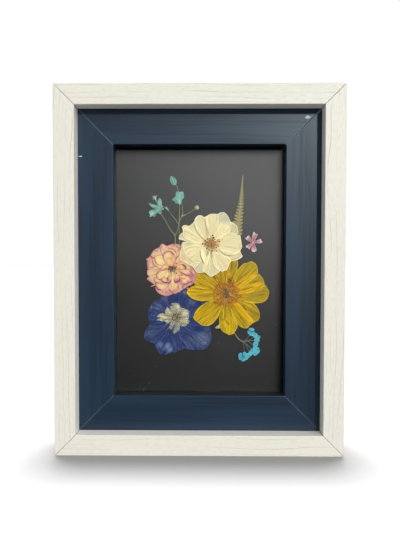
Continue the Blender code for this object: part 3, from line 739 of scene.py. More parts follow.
def fan(petal, behind, patches=(), lines=(), relief=0.10, pleat=0.06, curl=0.10, wave=0.05, rag=0.0,
        bulge=0.0, spread=0.5):
    """The petal as points, faces and stored values. Lengths are in millimetres."""
    length = spaced(petal.spans, 2)[2]
    rays = max(16, int(length / RAY_GAP))
    margin, index, _ = spaced(petal.spans, rays)
    radius = np.linalg.norm(margin - petal.foot, axis=1)
    steps = max(5, int(radius.max() / STEP_GAP))
    share = 1 - (1 - np.arange(1, steps + 1) / steps) ** STEP_CROWDING
    arc = np.linspace(0, length, rays)
    uneven = wave * soft_noise(arc * WAVE_RATE, 0 * arc, petal.seed)
    uneven = uneven + rag * soft_noise(arc * RAG_RATE, 0 * arc, petal.seed + 5)
    margin = margin + uneven[:, None] * (margin - petal.foot) / (radius[:, None] + 1)
    flat = petal.foot + (margin - petal.foot)[None] * share[:, None, None]
    reach = np.repeat(share[:, None], rays, 1)
    radial = reach * radius[None]
    points = flat.reshape(-1, 2)
    rim = np.maximum(edge_distance(points, petal.spans[::3]).reshape(reach.shape), 0)
    side = veins_beside(petal, points, reach.ravel(), radius.max(), spread).reshape(reach.shape)
    low = soft_noise(points[:, 0] * RELIEF_RATE, points[:, 1] * RELIEF_RATE, petal.seed + 1)
    rise = relief * low.reshape(reach.shape)
    wander = PLEAT_WANDER * soft_noise(side * 0.7, radial * 0.3, petal.seed + 2)
    rise += pleat * np.sin(side * PLEAT_RATE + wander) * reach
    curled = 0.6 + 0.4 * soft_noise(arc + 0 * rim, 0 * rim, petal.seed + 3)
    rise += curl * np.exp(-rim / CURL_REACH) * curled
    rise += bulge * np.sin(pi * np.clip(reach, 0, 1))
    if petal.lift:
        first, last, height = petal.lift
        place = index / SPAN_POINTS
        window = np.clip(np.minimum(place - first, last - place) / 0.9 + 0.2, 0, 1)
        window = window**2 * (3 - 2 * window)
        outer = np.clip((reach - 0.25) / 0.75, 0, 1)
        rise += height * window[None] * outer**2 * np.exp(-rim / LIFT_REACH)
    cover = np.zeros(len(points))
    for other in behind:
        cover += np.clip(edge_distance(points, other.outline) / 0.5 + 0.5, 0, 1)
    rise = np.minimum(rise, layer_plane(petal.layer) - glass_back - GLASS_ROOM)
    y = layer_plane(petal.layer) - rise
    columns = {
        "vein": np.column_stack([side.ravel(), radial.ravel(), np.full(side.size, petal.seed * SEED_STEP)]),
        "reach": reach.ravel(),
        "rim": rim.ravel(),
        "cover": cover,
        "marks": patches_at(points, petal.layer, patches),
        "lines": lines_at(points, petal.layer, lines),
    }
    values = {key: np.concatenate([column[:1], column]) for key, column in columns.items()}
    foot = [petal.foot[0], layer_plane(petal.layer), petal.foot[1]]
    points = np.vstack([[foot], np.column_stack([points[:, 0], y.ravel(), points[:, 1]])])
    faces = []
    for k in range(rays - 1):
        faces.append((0, 1 + k, 2 + k))
        for j in range(steps - 1):
            a = 1 + j * rays + k
            faces.append((a, a + rays, a + rays + 1, a + 1))
    turned = petal.spans - petal.foot
    if (turned[:-1, 0] * turned[1:, 1] - turned[1:, 0] * turned[:-1, 1]).sum() < 0:
        faces = [face[::-1] for face in faces]
    return points, faces, values


# %% [markdown]
# ## Tubes and lumps
# Stems, filaments and rays are tapering tubes. Pollen cases and buds are small uneven balls. Each
# stores one shade, which its finish turns into a colour.

# %% Tubes and lumps
def tube(path, radii, sides=6, tone=0.0):
    """A closed tube along a path of X, Y, Z places, with a radius at each place."""
    path = np.array(path, float)
    radii = np.interp(np.linspace(0, 1, len(path)), np.linspace(0, 1, len(radii)), radii)
    run = np.gradient(path, axis=0)
    run /= np.linalg.norm(run, axis=1)[:, None] + 1e-9
    toward = np.array((0.0, -1.0, 0.0))
    side = np.cross(run, toward)
    side /= np.linalg.norm(side, axis=1)[:, None] + 1e-9
    front = np.cross(side, run)
    turn = np.arange(sides) * tau / sides
    turn = turn[None, :, None]
    circle = side[:, None] * np.cos(turn) + front[:, None] * np.sin(turn)
    points = (path[:, None] + circle * radii[:, None, None]).reshape(-1, 3)
    faces = []
    for k in range(len(path) - 1):
        for j in range(sides):
            a, b = k * sides + j, k * sides + (j + 1) % sides
            faces.append((a, b, b + sides, a + sides))
    last = (len(path) - 1) * sides
    faces.append(tuple(reversed(range(sides))))
    faces.append(tuple(range(last, last + sides)))
    return points, [face[::-1] for face in faces], {"tone": np.full(len(points), tone)}


def lump(place, size, turn=0.0, tone=1.0, seed=0, rough=0.12, detail=2):
    """A small uneven ball: its size along its own X, Y and Z, turned in the card's plane."""
    work = bmesh.new()
    bmesh.ops.create_icosphere(work, subdivisions=detail, radius=0.5)
    work.verts.ensure_lookup_table()
    base = np.array([vertex.co for vertex in work.verts])
    faces = [tuple(vertex.index for vertex in face.verts) for face in work.faces]
    work.free()
    swell = soft_noise(base[:, 0] * 6 + base[:, 1] * 3, base[:, 2] * 6, seed)[:, None]
    base = base * (1 + rough * swell * 2)
    base = base * np.array(size)
    c, s = cos(turn), sin(turn)
    x, z = base[:, 0] * c - base[:, 2] * s, base[:, 0] * s + base[:, 2] * c
    points = np.column_stack([x, base[:, 1], z])
    return points + np.array(place), faces, {"tone": np.full(len(points), tone)}


def spot(u, v, layer, rise=0.0):
    """A pixel's place as X, Y, Z in millimetres, raised from its layer toward the glass."""
    x, z = at_pixel(u, v, layer)
    return np.array((x, layer_plane(layer) - rise, z))


# %% [markdown]
# ## From sheets to a piece
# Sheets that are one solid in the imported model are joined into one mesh, which rides on the body
# and takes that solid's place. Petals get their thickness last, as a skin of 0.05 mm behind the
# sheet. Tubes and lumps are closed already and need none.

# %% From points to a piece
def piece(name, parts, material, node, thickness=PETAL_THICKNESS):
    """Join sheets or solids into one piece that stands for a node of the model."""
    start, points, faces, values = 0, [], [], {}
    for part_points, part_faces, part_values in parts:
        points.append(part_points)
        faces += [tuple(index + start for index in face) for face in part_faces]
        for key, column in part_values.items():
            values.setdefault(key, []).append(column)
        start += len(part_points)
    mesh = bpy.data.meshes.new(name)
    mesh.from_pydata((np.vstack(points) * MM).tolist(), [], faces)
    for key, columns in values.items():
        column = np.concatenate(columns)
        kind = "FLOAT_VECTOR" if column.ndim == 2 else "FLOAT"
        stored = mesh.attributes.new(key, kind, "POINT")
        stored.data.foreach_set("vector" if column.ndim == 2 else "value", column.ravel().astype(np.float32))
    mesh.shade_smooth()
    mesh.materials.append(material)
    made = bpy.data.objects.new(name, mesh)
    scene.collection.objects.link(made)
    if thickness:
        skin = made.modifiers.new("thickness", "SOLIDIFY")
        skin.thickness = thickness * MM
        skin.offset = -1.0
    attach(made, BODY)
    if node:
        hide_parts(*([node] if isinstance(node, str) else node))
    return made


# %% [markdown]
# ## How a petal is coloured
# A pressed petal is see-through. One sheet alone over the black card looks thin and greyish, and
# two or three together look full and bright. The soft patches tint that ground. Then streaks and
# fibres are laid over it along the rays, then the dried rim as a thin line, and the drawn lines
# come last, with their painted shade and painted highlights along folds and borders. All of them
# hang on the stored values, so the pattern follows each petal's own form.

# %% Petal finish
FINE_SCALE, UNEVEN_SCALE, UNEVEN_MOVE = (4.2, 0.35, 1.0), (0.45, 0.12, 1.0), (0.0, 0.0, 3.0)
STREAK_LENGTH = 0.07
FIBRE_DENSITY, FOOT_DENSITY = 0.25, 0.2


def petal_finish(name, thin, full, foot, rim, dark, light, alpha=(0.8, 0.9), foot_reach=(0.0, 0.35),
                 rim_width=0.5, rim_share=0.5, rim_density=0.3, band=None, band_width=2.0,
                 band_share=0.0, dark_share=0.4, light_share=0.4, vein_gap=1.1, fibres=0.3, blotch=0.3,
                 blotch_size=3.0, blotch_colour=None, grey=None, warm=None, pale=None,
                 line_dark=None, line_tint=None, line_light=None):
    """A dried petal. The alpha values are for one face of a sheet: alone, and over other petals."""
    sheet = Finish(name, roughness=0.62)
    place = sheet.stored("vein", "Vector")
    reach = sheet.stored("reach")
    edge = sheet.stored("rim")
    cover = sheet.span(sheet.stored("cover"), 0.0, 1.3)
    marks = sheet.parts(sheet.stored("marks", "Vector"))
    lines = sheet.parts(sheet.stored("lines", "Vector"))
    cloud = sheet.noise(sheet.object_place(), scale=1000.0 / blotch_size, detail=4.0, rough=0.65)
    streak = sheet.stretch(place, (1.0 / vein_gap, STREAK_LENGTH, 1.0))
    streak = sheet.noise(streak, scale=1.0, detail=5.0, rough=0.7)
    fine = sheet.noise(sheet.stretch(place, FINE_SCALE), scale=1.0, detail=4.0, rough=0.65)
    uneven = sheet.noise(sheet.stretch(place, UNEVEN_SCALE, UNEVEN_MOVE), scale=1.0, detail=3.0, rough=0.6)
    strong = sheet.span(uneven, 0.36, 0.6, 0.45, 1.0)

    body = sheet.blend(cover, thin, full)
    body = sheet.blend(sheet.span(reach, foot_reach[0], foot_reach[1], 1.0, 0.0), body, foot)
    blotches = sheet.times(sheet.span(cloud, 0.42, 0.66), blotch)
    body = sheet.blend(blotches, body, blotch_colour or dark)
    for mark, colour in zip(marks, (grey, warm, pale)):
        if colour:
            body = sheet.blend(sheet.times(mark, sheet.span(cloud, 0.36, 0.6, 0.62, 1.0)), body, colour)
    bright = sheet.times(sheet.span(streak, 0.5, 0.64), light_share)
    bright = sheet.times(bright, sheet.span(marks[0], 0.0, 1.0, 1.0, 0.35))
    body = sheet.blend(bright, body, light)
    shade = sheet.times(sheet.span(streak, 0.37, 0.5, 1.0, 0.0), strong)
    body = sheet.blend(sheet.times(shade, dark_share), body, dark)
    body = sheet.blend(sheet.times(sheet.span(fine, 0.45, 0.75), fibres), body, dark)
    if band:
        wide = sheet.times(sheet.span(edge, 0.0, band_width, 1.0, 0.0), band_share)
        body = sheet.blend(sheet.times(wide, strong), body, band)
    at_rim = sheet.times(sheet.span(edge, 0.0, rim_width, 1.0, 0.0), rim_share)
    at_rim = sheet.times(at_rim, strong)
    body = sheet.blend(at_rim, body, rim)
    # Drawn lines: dark ones are partly painted shade along folds and borders, light ones partly painted
    # highlights.
    for line, colour in zip(lines, (line_dark, line_tint, line_light)):
        if colour:
            body = sheet.blend(sheet.times(line, sheet.span(fine, 0.2, 0.7, 0.7, 1.0)), body, colour)
    sheet.colour(body)

    density = sheet.span(cover, 0.0, 1.0, alpha[0], alpha[1])
    fibre = sheet.times(sheet.math("SUBTRACT", fine, 0.5), FIBRE_DENSITY)
    density = sheet.math("ADD", density, fibre)
    density = sheet.math("ADD", density, sheet.times(at_rim, rim_density))
    density = sheet.math("ADD", density, sheet.span(reach, 0.0, 0.4, FOOT_DENSITY, 0.0), clamp=True)
    sheet.feed(sheet.shader.inputs["Alpha"], density)
    ridges = sheet.math("ADD", sheet.times(fine, 0.5), sheet.times(streak, 1.6))
    sheet.relief(ridges, strength=0.6, distance=0.00012)
    sheet.set(Specular_IOR_Level=0.12)
    return sheet.material


# %% [markdown]
# ## White flower
# Fourteen cream sheets, the uppermost flower of the group. Each outline starts and ends at the
# petal's foot. Some margins stand up a little where the petal was folded in the press. One folded
# lobe belongs to the low left petal and is joined to it.

# %% White petals
# Each petal: its layer and its outline.
WHITE_OUTLINES = {
    "left": (3, [(207, 242), (195, 236), (188, 231.5), (183.2, 232.3), (180.6, 234), (179.2, 236.5),
        (178.8, 238.8), (181, 239.8), (184.5, 240.8), (192, 243.5), (203, 245)]),
    "right_upper": (3, [(214, 239), (216.2, 234), (217.8, 229.5), (219.6, 225), (222, 222.6), (226, 221.3),
        (231, 221.9), (234, 223.2), (236.6, 225.6), (238, 229.5), (238.2, 232.5), (237, 234.2), (230, 238),
        (219, 243)]),
    "lower_right": (3, [(217, 245), (229, 248), (237, 249), (240, 250.5), (241, 253.3), (242.4, 256),
        (241.5, 257.6), (238, 259.5), (235, 260.6), (231, 260.8), (226, 258.5), (219, 253), (213, 247)]),
    "bottom_left": (3.2, [(208, 247), (199, 255), (191, 262), (192.5, 266.4), (195, 270), (197, 272.6),
        (199.5, 273.3), (202, 272.8), (204.6, 271.6), (206.5, 266), (208.5, 258), (211, 249)]),
    "top_right": (3.8, [(212, 239), (214.5, 233), (216, 226), (217.4, 219), (217.6, 214.6), (219.5, 213),
        (223, 212.2), (225.4, 213.2), (227.6, 215.6), (229.2, 218.6), (230.6, 222), (231.4, 226),
        (230.5, 230.5), (226, 236), (216, 242)]),
    "lower_left": (3.7, [(206, 244), (192, 242.5), (184, 241.8), (182, 243.6), (181.3, 246), (181.6, 248),
        (180.4, 251), (179.7, 255), (179.6, 259), (182.5, 261), (186.5, 263.1), (190, 265), (193.2, 267),
        (197.5, 265), (202, 260), (208, 250)]),
    "left_upper": (4.3, [(208, 241.5), (203, 234), (198.5, 227), (194.6, 221.6), (192.6, 223.2),
        (190.6, 225), (188.6, 226), (187, 225.3), (185, 225), (183, 225.8), (182.1, 227.5), (182.8, 230),
        (183, 232.5), (183.4, 235.5), (185, 238.4), (190, 240.2), (197, 242.8), (205, 245)]),
    "bottom": (4.3, [(209, 247), (205.5, 254), (203.4, 262), (203, 267.5), (204, 271.6), (206.2, 273.3),
        (208.6, 275.4), (211, 277.3), (212.7, 276), (216, 274), (219.8, 271.2), (218.5, 266), (216, 258),
        (213, 248)]),
    "left_low": (5, [(208, 243.5), (198, 242), (190, 241.8), (184.5, 243), (182.7, 246.3), (183.6, 250),
        (186, 254), (189, 258.2), (193, 261.6), (197.5, 263), (201.3, 261.5), (203.2, 257), (205.5, 251),
        (209.5, 246)]),
    "bottom_right": (5.1, [(210.5, 247.5), (211.2, 253), (212.4, 258.6), (213.8, 263.6), (215.8, 267.8),
        (218.6, 270.3), (220.4, 270.4), (222, 271.6), (224, 270.8), (226.6, 270), (228.1, 267),
        (229.6, 263.4), (231.2, 260.4), (228, 256.5), (223.5, 252.5), (215, 246)]),
    "top_left": (5.1, [(209.5, 240), (208.6, 235), (207, 229), (206.4, 222), (206, 217.8), (203.6, 216.8),
        (202, 215.7), (199.5, 215.2), (197.9, 215.8), (196, 217.5), (194.7, 220), (194.6, 224),
        (195.4, 228), (197.2, 231.6), (200.2, 235.6), (203.5, 239.4), (207.5, 243)]),
    "right": (5.8, [(212, 241.5), (217, 238.5), (221.4, 236), (224, 234), (227, 232.8), (231, 232.6),
        (235, 234.5), (239, 235.2), (240.4, 236), (240.9, 239), (241.4, 243), (242.1, 246.5),
        (241.4, 248.6), (239.4, 251.4), (236, 253.8), (232, 255.2), (228, 255.4), (225, 254.8),
        (222, 252.6), (219, 249.3), (213, 245.5)]),
    "top": (5.7, [(209.8, 240), (208.3, 234), (206.6, 228), (205.4, 222.5), (204.6, 217.2), (207, 216),
        (209, 214.6), (212, 213.8), (215, 213.9), (217.3, 214.2), (218.6, 217), (219, 221), (218.6, 226),
        (217.2, 230.5), (215.4, 235), (213, 240.5)]),
    "fold": (5.9, [(207.5, 246.5), (203, 247.6), (200.4, 249.8), (200, 252.5), (200.8, 256), (202.4, 260.4),
        (204.5, 263.7), (207, 264.3), (208.6, 260), (209.8, 255), (210.4, 249)]),
}


def lay_out(outlines, prefix, material, slot, name, seed, lifts=(), joined=(), **looks):
    """Make a flower's petals. A joined outline becomes part of another petal's piece. A petal's
    cover counts the petals of the same flower that lie behind it."""
    petals, lifts = {}, dict(lifts)
    for number, (key, (layer, pixels)) in enumerate(outlines.items()):
        petals[key] = Petal(layer, traced(pixels, layer), seed + number, lifts.get(key))
    joined = dict(joined)
    for key, petal in petals.items():
        if key in joined:
            continue
        parts = []
        for member in [petal] + [petals[extra] for extra, host in joined.items() if host == key]:
            behind = [other for other in petals.values() if other.layer < member.layer]
            parts.append(fan(member, behind, **looks))
        piece(prefix + key, parts, material, name + key)
    return petals


# Lifted margins: the stretch of the outline, in spans between its places, and how far.
WHITE_LIFTS = {
    "bottom_right": (0.2, 3.6, 0.6), "top_left": (9, 12.6, 0.6), "right": (12, 15.4, 0.6),
    "top": (0.2, 4.6, 0.55), "fold": (0.3, 6.2, 0.7)}
# Soft patches of each kind: place, half width and half height in pixels, turn, strength.
# Some pale patches are painted highlights on folds and rims, and one is a small painted highlight
# beside the stamens.
WHITE_PATCHES = {
    "grey": [(188, 244, 4.5, 1.8, -12, 0.8), (181.4, 236, 3.5, 2.2, 20, 0.7),
        (198.6, 218.5, 2.6, 3.4, 20, 0.45), (207, 253, 2, 3, 25, 0.95), (240, 247.5, 1.6, 3.6, 15, 0.6),
        (225, 216.5, 9, 8, 0, 1), (236, 228, 5.5, 8, 0, 0.75), (198, 267.5, 6.5, 5, 0, 0.7),
        (211, 270, 5.5, 6, 0, 0.45), (183.5, 233, 2.5, 2.5, 0, 0.4), (200, 262, 3, 3, 0, 0.35),
        (190, 262, 4, 3, -30, 0.3)],
    "warm": [(184, 256, 6.5, 5.5, 0, 0.75), (186, 250, 4, 4, 0, 0.4), (205.8, 223, 1.8, 6.5, 5, 0.35),
        (217, 257, 4, 5, 0, 0.25), (214, 230, 4, 6, 0, 0.25), (236, 243, 6, 5, 0, 0.2)],
    "pale": [(202.6, 254, 2, 5.5, 12, 0.8), (186, 228.6, 4.5, 2.2, 20, 0.6), (196.5, 246, 6, 3, 10, 0.4),
        (216.6, 252.5, 1.4, 1.4, 0, 0.9), (222, 234.5, 3, 1.4, 30, 0.5), (240.5, 239, 1.2, 4, 0, 0.5)],
}
# Drawn lines of each kind: strength, width, places. Most dark lines are painted shadows cast by
# the borders and folds of the upper petals, and the light lines are painted highlights on their
# lit edges.
WHITE_LINES = {
    "dark": [(0.75, 1.1, [(194.6, 222.6), (195.4, 228), (197.4, 232), (200.4, 235.8), (203.6, 239.4),
        (206.6, 242)]), (0.55, 0.9, [(205.2, 217.6), (205.4, 222), (206.4, 227), (207.8, 231),
        (208.8, 235)]), (0.3, 0.9, [(215.6, 233), (217.8, 226), (219, 221), (218.8, 217)]),
        (0.75, 1, [(218.2, 248), (219.6, 250), (222, 252.8), (225, 254.6), (228.4, 255.4), (232, 255)]),
        (0.35, 0.9, [(221.8, 237), (225, 234.8), (228.6, 233)]), (0.75, 1, [(210.8, 250), (212, 255),
        (213, 260), (214.4, 264.6), (216.6, 268.4), (218.6, 270)]), (0.8, 1, [(200.2, 251), (200.6, 255),
        (202, 259.4), (204.4, 263.4)]), (0.5, 1, [(186.3, 254.5), (188.2, 257.4), (191.5, 260.8),
        (195, 262.6)]), (0.3, 1, [(186, 249), (190, 247.4), (195, 247), (200, 248)]),
        (0.4, 0.9, [(229.4, 260), (233, 259.3), (237, 257.8), (240.6, 255.6)]), (0.4, 0.9, [(229.2, 222),
        (231, 226.4), (231.6, 231), (229, 234.4)]), (0.3, 0.9, [(184, 231), (188, 232.8), (194, 236),
        (200, 239.4)]), (0.65, 1.2, [(208.8, 250), (207.6, 252.4), (206.2, 256)]), (0.4, 1, [(200.2, 234.6),
        (196, 229.4), (193.6, 224.6)]), (0.3, 1, [(183.4, 241.4), (188, 242.4), (194, 244)])],
    "light": [(0.9, 0.9, [(199.2, 251.4), (199.8, 256), (201.2, 260.6), (204.6, 264.6)]),
        (0.7, 1, [(201.6, 253), (202.6, 257), (205.4, 262.2)]), (0.8, 0.9, [(211.8, 256), (213.4, 262),
        (216, 267), (219, 269.8)]), (0.6, 1, [(195.8, 222), (196.6, 228), (199.4, 233), (203.4, 237.6)]),
        (0.6, 0.9, [(207, 216.6), (207, 222), (208.4, 228)]), (0.6, 1, [(184.6, 228), (188, 229.4),
        (194, 233), (199, 237)]), (0.6, 1, [(219.6, 251.6), (224, 256.2), (229, 257)]),
        (0.6, 1.2, [(188, 258), (186, 254), (188, 250.6), (192, 249)]), (0.5, 1.2, [(215.6, 251.6),
        (217.6, 254)]), (0.6, 1, [(217, 239.6), (222, 236.6), (227, 233.6)])],
}
white_finish = petal_finish(
    "dried white petal", thin=(224, 212, 168), full=(230, 218, 167), foot=(218, 190, 130),
    rim=(246, 234, 198), dark=(200, 184, 138), light=(243, 232, 186), alpha=(0.84, 0.9),
    foot_reach=(0.05, 0.4), rim_width=0.7, rim_share=0.75, dark_share=0.5, light_share=0.6,
    vein_gap=0.8, fibres=0.28, blotch=0.3, blotch_colour=(206, 194, 156), grey=(186, 185, 160),
    warm=(216, 188, 144), pale=(240, 228, 182), line_dark=(134, 114, 68), line_light=(252, 243, 204))
white = lay_out(
    WHITE_OUTLINES, "dried_white_petal_", white_finish, "white_petal", "white_petal_", seed=10,
    lifts=WHITE_LIFTS, joined={"fold": "left_low"}, patches=WHITE_PATCHES, lines=WHITE_LINES)
print(len(white), "white sheets")

# %% [markdown]
# ## Yellow flower
# A golden flower with one open row of petals. A single sheet of it is olive over the card, and
# where sheets overlap it is full gold. Its veins are brown and strong, as in a dried cosmos, so its
# streaks get a larger share. They run more nearly side by side than in the other flowers.

# %% Yellow petals
YELLOW_OUTLINES = {
    "right": (1.2, [(229, 293.5), (238, 290.8), (247, 287.5), (256, 284.8), (264.3, 284.6), (267, 287.5),
        (268.5, 290.5), (269.3, 292), (268.6, 295), (267.8, 298), (265.5, 300.8), (262, 302.6),
        (257.5, 303.2), (253.5, 303.2), (249, 302.3), (244, 300.8), (238, 299), (230, 296)]),
    "top_left": (1.2, [(223, 291), (217, 281), (212, 274), (210, 268), (213, 262), (220, 260), (225.5, 263),
        (227.5, 270), (227.3, 278), (226, 288)]),
    "top": (2, [(226, 289), (226, 280), (226.4, 272), (227.6, 264), (230, 257.5), (233.5, 255),
        (236.4, 257), (237.6, 261), (237.8, 265), (237.2, 269.5), (236, 273), (234, 279), (230, 289)]),
    "left_upper": (1.9, [(222, 291), (218, 284), (214, 277.5), (209, 272.5), (203, 270), (198, 269.5),
        (195, 271.5), (193.4, 275.5), (193, 280), (193.8, 284), (196, 287), (201, 289.3), (209, 291.8),
        (219, 293.5)]),
    "lower_right": (1.6, [(229, 296.5), (238, 299.3), (245, 301.3), (251, 302.5), (254, 303.8),
        (257, 307.2), (259, 311), (259.8, 315), (259.4, 318), (258, 320.5), (255, 322), (251, 323.4),
        (246, 320), (239, 313), (231, 303)]),
    "lower_right_under": (2.4, [(228, 297), (236, 302), (243.5, 308), (249.5, 315), (252.6, 320.5),
        (252, 323.8), (250, 325.3), (248.5, 327.2), (246.5, 328.2), (244, 328.2), (241, 327), (238.5, 325),
        (236.3, 322.5), (233.5, 318.5), (230.5, 312), (226.5, 301)]),
    "right_upper": (2.2, [(229, 292.5), (235, 285.5), (240, 281), (246, 277.3), (252, 274.7), (258, 273.9),
        (260.5, 275.5), (262.5, 278), (263.8, 281), (264.3, 284.6), (262, 288), (255, 291.3), (246, 293),
        (231, 294.5)]),
    "lower_left": (2.2, [(223, 296.5), (215, 300), (208, 301.5), (204, 303.7), (200, 306.5), (197, 309.5),
        (195, 312.5), (194.3, 315), (193.2, 317.2), (194.2, 319.5), (197.5, 322), (200.5, 324.6),
        (204, 325.8), (208, 325.7), (211.5, 324.3), (214.5, 321.5), (217, 318.5), (219, 315.5),
        (221.8, 309), (225.5, 298)]),
    "left": (3, [(223, 293), (213, 290.4), (204, 288.6), (197.5, 286.2), (193, 286), (191, 287),
        (189, 288.7), (187.3, 290.5), (186.9, 292), (187.8, 294.5), (190, 296.8), (193.5, 299),
        (197, 300.3), (201, 301), (205, 301.2), (210, 300.6), (216, 299), (223, 296)]),
    "bottom": (3.1, [(224.3, 298), (221.8, 309), (219.6, 316), (219.2, 320), (219.3, 323), (219.8, 327),
        (221.5, 330), (224, 332.5), (227, 333.6), (229, 334.8), (231.5, 334.5), (234, 333), (236, 330),
        (237.5, 326.5), (237, 323.5), (235.3, 319.5), (232, 311), (228, 298)]),
    "upper_right": (3.1, [(228, 291), (232, 281), (234.6, 275), (236.2, 271.5), (238.5, 269),
        (240.5, 266.5), (242.5, 264.3), (244.5, 263.2), (247, 263), (249, 262), (251.3, 261.2), (253, 262),
        (255, 263.2), (256.8, 265.5), (257.6, 269), (257.8, 273.5), (254.5, 278), (248, 282.4),
        (240, 287.5), (230, 293)]),
}
YELLOW_LIFTS = {
    "left_upper": (12, 14.6, 0.25), "lower_left": (0.5, 4.5, 0.25), "left": (8, 12.5, 0.35),
    "upper_right": (1, 5, 0.25)}
YELLOW_PATCHES = {
    "grey": [(250, 268, 8, 5.5, -10, 0.9), (243, 274, 6, 4, 35, 0.7), (257, 279.5, 7, 3.2, 10, 0.9),
        (256, 297, 12, 5, 5, 1), (266, 291, 4, 4, 0, 0.7), (255.5, 310, 4, 7, 15, 0.95),
        (242.5, 324, 5, 2.8, -25, 0.85), (234, 266, 3.6, 9, 0, 0.95), (228, 312, 5, 7, 0, 0.5),
        (205, 298.5, 10, 2.2, 0, 0.55), (204, 306.5, 7, 2, 25, 0.45), (192, 284, 3, 3, 0, 0.6)],
    "warm": [(227, 270, 3, 8, 0, 0.7), (240, 300, 5, 3, -30, 0.4), (216, 284, 5, 4, -35, 0.4)],
    "pale": [(224, 322, 3, 3, 0, 0.8), (250, 322, 4, 3, 40, 0.8), (191, 290, 4, 2.4, 0, 0.7),
        (205, 292, 8, 1.2, 0, 0.5), (257, 285, 8, 1.6, 15, 0.7), (203, 312, 9, 2.5, 25, 0.6)],
}
YELLOW_LINES = {
    "dark": [(0.95, 1.2, [(242.2, 305), (244.2, 307.4), (246.6, 310.6)]), (0.9, 1.2, [(226, 321),
        (228, 323.4), (229.6, 324.8)]), (0.6, 1, [(221.2, 320.6), (224, 319.4), (226.4, 321.4)]),
        (0.5, 0.9, [(231, 313), (231.6, 315.6), (232, 318)]), (0.85, 1, [(213.4, 275.6), (216, 280),
        (219.6, 285.6)]), (0.75, 0.9, [(216.4, 275.6), (218.6, 280.4), (220.8, 284.6)]),
        (0.9, 1.2, [(192.4, 284.6), (194, 284), (195.4, 285.2)]), (0.8, 1.1, [(204, 301.4), (206.6, 301.2),
        (209, 300.4)]), (0.6, 0.9, [(213, 291.6), (216, 293), (219, 294.6)]), (0.7, 1, [(249, 283),
        (252, 281.8), (256, 281)]), (0.5, 1, [(241, 300.6), (246, 302.4), (251, 303.6)]),
        (0.6, 0.9, [(235.6, 282.6), (241, 277.8), (249, 272)]), (0.5, 0.8, [(236, 280), (240, 275),
        (246, 269.6)]), (0.5, 0.8, [(238, 285), (244, 281), (252, 277.4)]), (0.55, 0.9, [(242, 290.2),
        (248, 288.2), (256, 286.4)]), (0.4, 0.8, [(243, 286.6), (248, 284.6), (253, 283.6)]),
        (0.55, 0.8, [(216.6, 307), (211.6, 311.8), (204, 318)]), (0.55, 0.8, [(213.6, 304.8), (207, 308.8),
        (200, 313.6)]), (0.45, 0.8, [(218.6, 310), (214, 316), (208, 322)]), (0.5, 0.8, [(236, 305),
        (241, 311), (247.6, 318.6)]), (0.5, 0.8, [(233.6, 307), (238, 313.6), (243, 320.6)]),
        (0.4, 0.8, [(239, 303.6), (244, 309.4), (250, 315.6)]), (0.55, 0.8, [(221.6, 309), (220.8, 314),
        (220.6, 318.6)]), (0.5, 0.8, [(226, 308), (226, 313), (225, 318)]), (0.45, 0.8, [(229, 307),
        (230.6, 312), (231.4, 316)]), (0.5, 0.8, [(212, 288), (205, 286), (197.6, 283)]),
        (0.5, 0.8, [(213, 285), (207, 281), (199.6, 276)]), (0.45, 0.8, [(216, 284), (211, 278.6),
        (206.6, 274)]), (0.5, 0.9, [(214, 290.4), (208, 290), (200, 289.4)]), (0.4, 0.9, [(213, 297),
        (206, 296.6), (198, 295)]), (0.4, 0.8, [(222, 281), (221, 276), (220, 272)]),
        (0.55, 0.8, [(225.6, 281), (226, 275), (227.4, 270)]), (0.5, 0.8, [(233, 279), (234.6, 274),
        (236, 270)]), (0.4, 0.8, [(231.6, 276), (232, 270), (233, 263)])],
    "light": [(0.9, 1, [(216, 279), (217.6, 282), (219, 285)]), (0.8, 1, [(244, 301.2), (249, 302),
        (256, 302.6)]), (0.7, 1, [(240, 284.6), (248, 279.4), (257, 275.4)]), (0.8, 1.1, [(240, 288.4),
        (250, 284.8), (262, 283.4)]), (0.6, 1, [(216, 308.4), (209, 315), (202, 321)]),
        (0.8, 0.9, [(223.2, 309), (223.2, 314), (223, 319)]), (0.7, 1.2, [(222.4, 321), (223.6, 323.4),
        (226, 325.4)]), (0.7, 0.9, [(236.4, 302), (242, 308), (249, 317)]), (0.6, 1, [(212, 292.6),
        (204, 292), (194, 291)]), (0.6, 1, [(215, 287.6), (208, 284), (200, 279.4)]),
        (0.6, 0.9, [(214, 282), (209, 276.4), (206, 272.6)]), (0.6, 0.9, [(223.4, 281), (223, 275),
        (223.4, 270)]), (0.6, 1, [(228, 276), (229, 270), (230, 264)]), (0.6, 1, [(235, 322), (238, 325.6),
        (243, 327.4)]), (0.5, 0.9, [(240, 274), (246, 268.6), (251, 265)]), (0.5, 0.9, [(196, 298.6),
        (203, 300.2), (211, 299.6)])],
}
yellow_finish = petal_finish(
    "dried yellow petal", thin=(190, 157, 26), full=(210, 163, 2), foot=(188, 126, 10),
    rim=(214, 188, 68), dark=(104, 76, 2), light=(238, 197, 22), alpha=(0.82, 0.92),
    foot_reach=(0.0, 0.4), rim_width=0.7, rim_share=0.55, dark_share=0.9, light_share=0.65,
    vein_gap=0.7, fibres=0.4, blotch=0.3, blotch_colour=(160, 126, 14), grey=(160, 142, 42),
    warm=(176, 112, 10), pale=(220, 174, 16), line_dark=(88, 60, 8), line_light=(222, 184, 36))
yellow = lay_out(
    YELLOW_OUTLINES, "dried_yellow_petal_", yellow_finish, "yellow_petal", "yellow_petal_", seed=40,
    lifts=YELLOW_LIFTS, joined={"lower_right_under": "lower_right"}, patches=YELLOW_PATCHES,
    lines=YELLOW_LINES, pleat=0.08, spread=0.25)
print(len(yellow), "yellow sheets")

# %% [markdown]
# ## Blue larkspur
# Broad deep blue sepals under a small whitish rosette of inner petals. The sepals are blotched with
# paler and warmer blue in small spots, which noise gives better than drawing would.

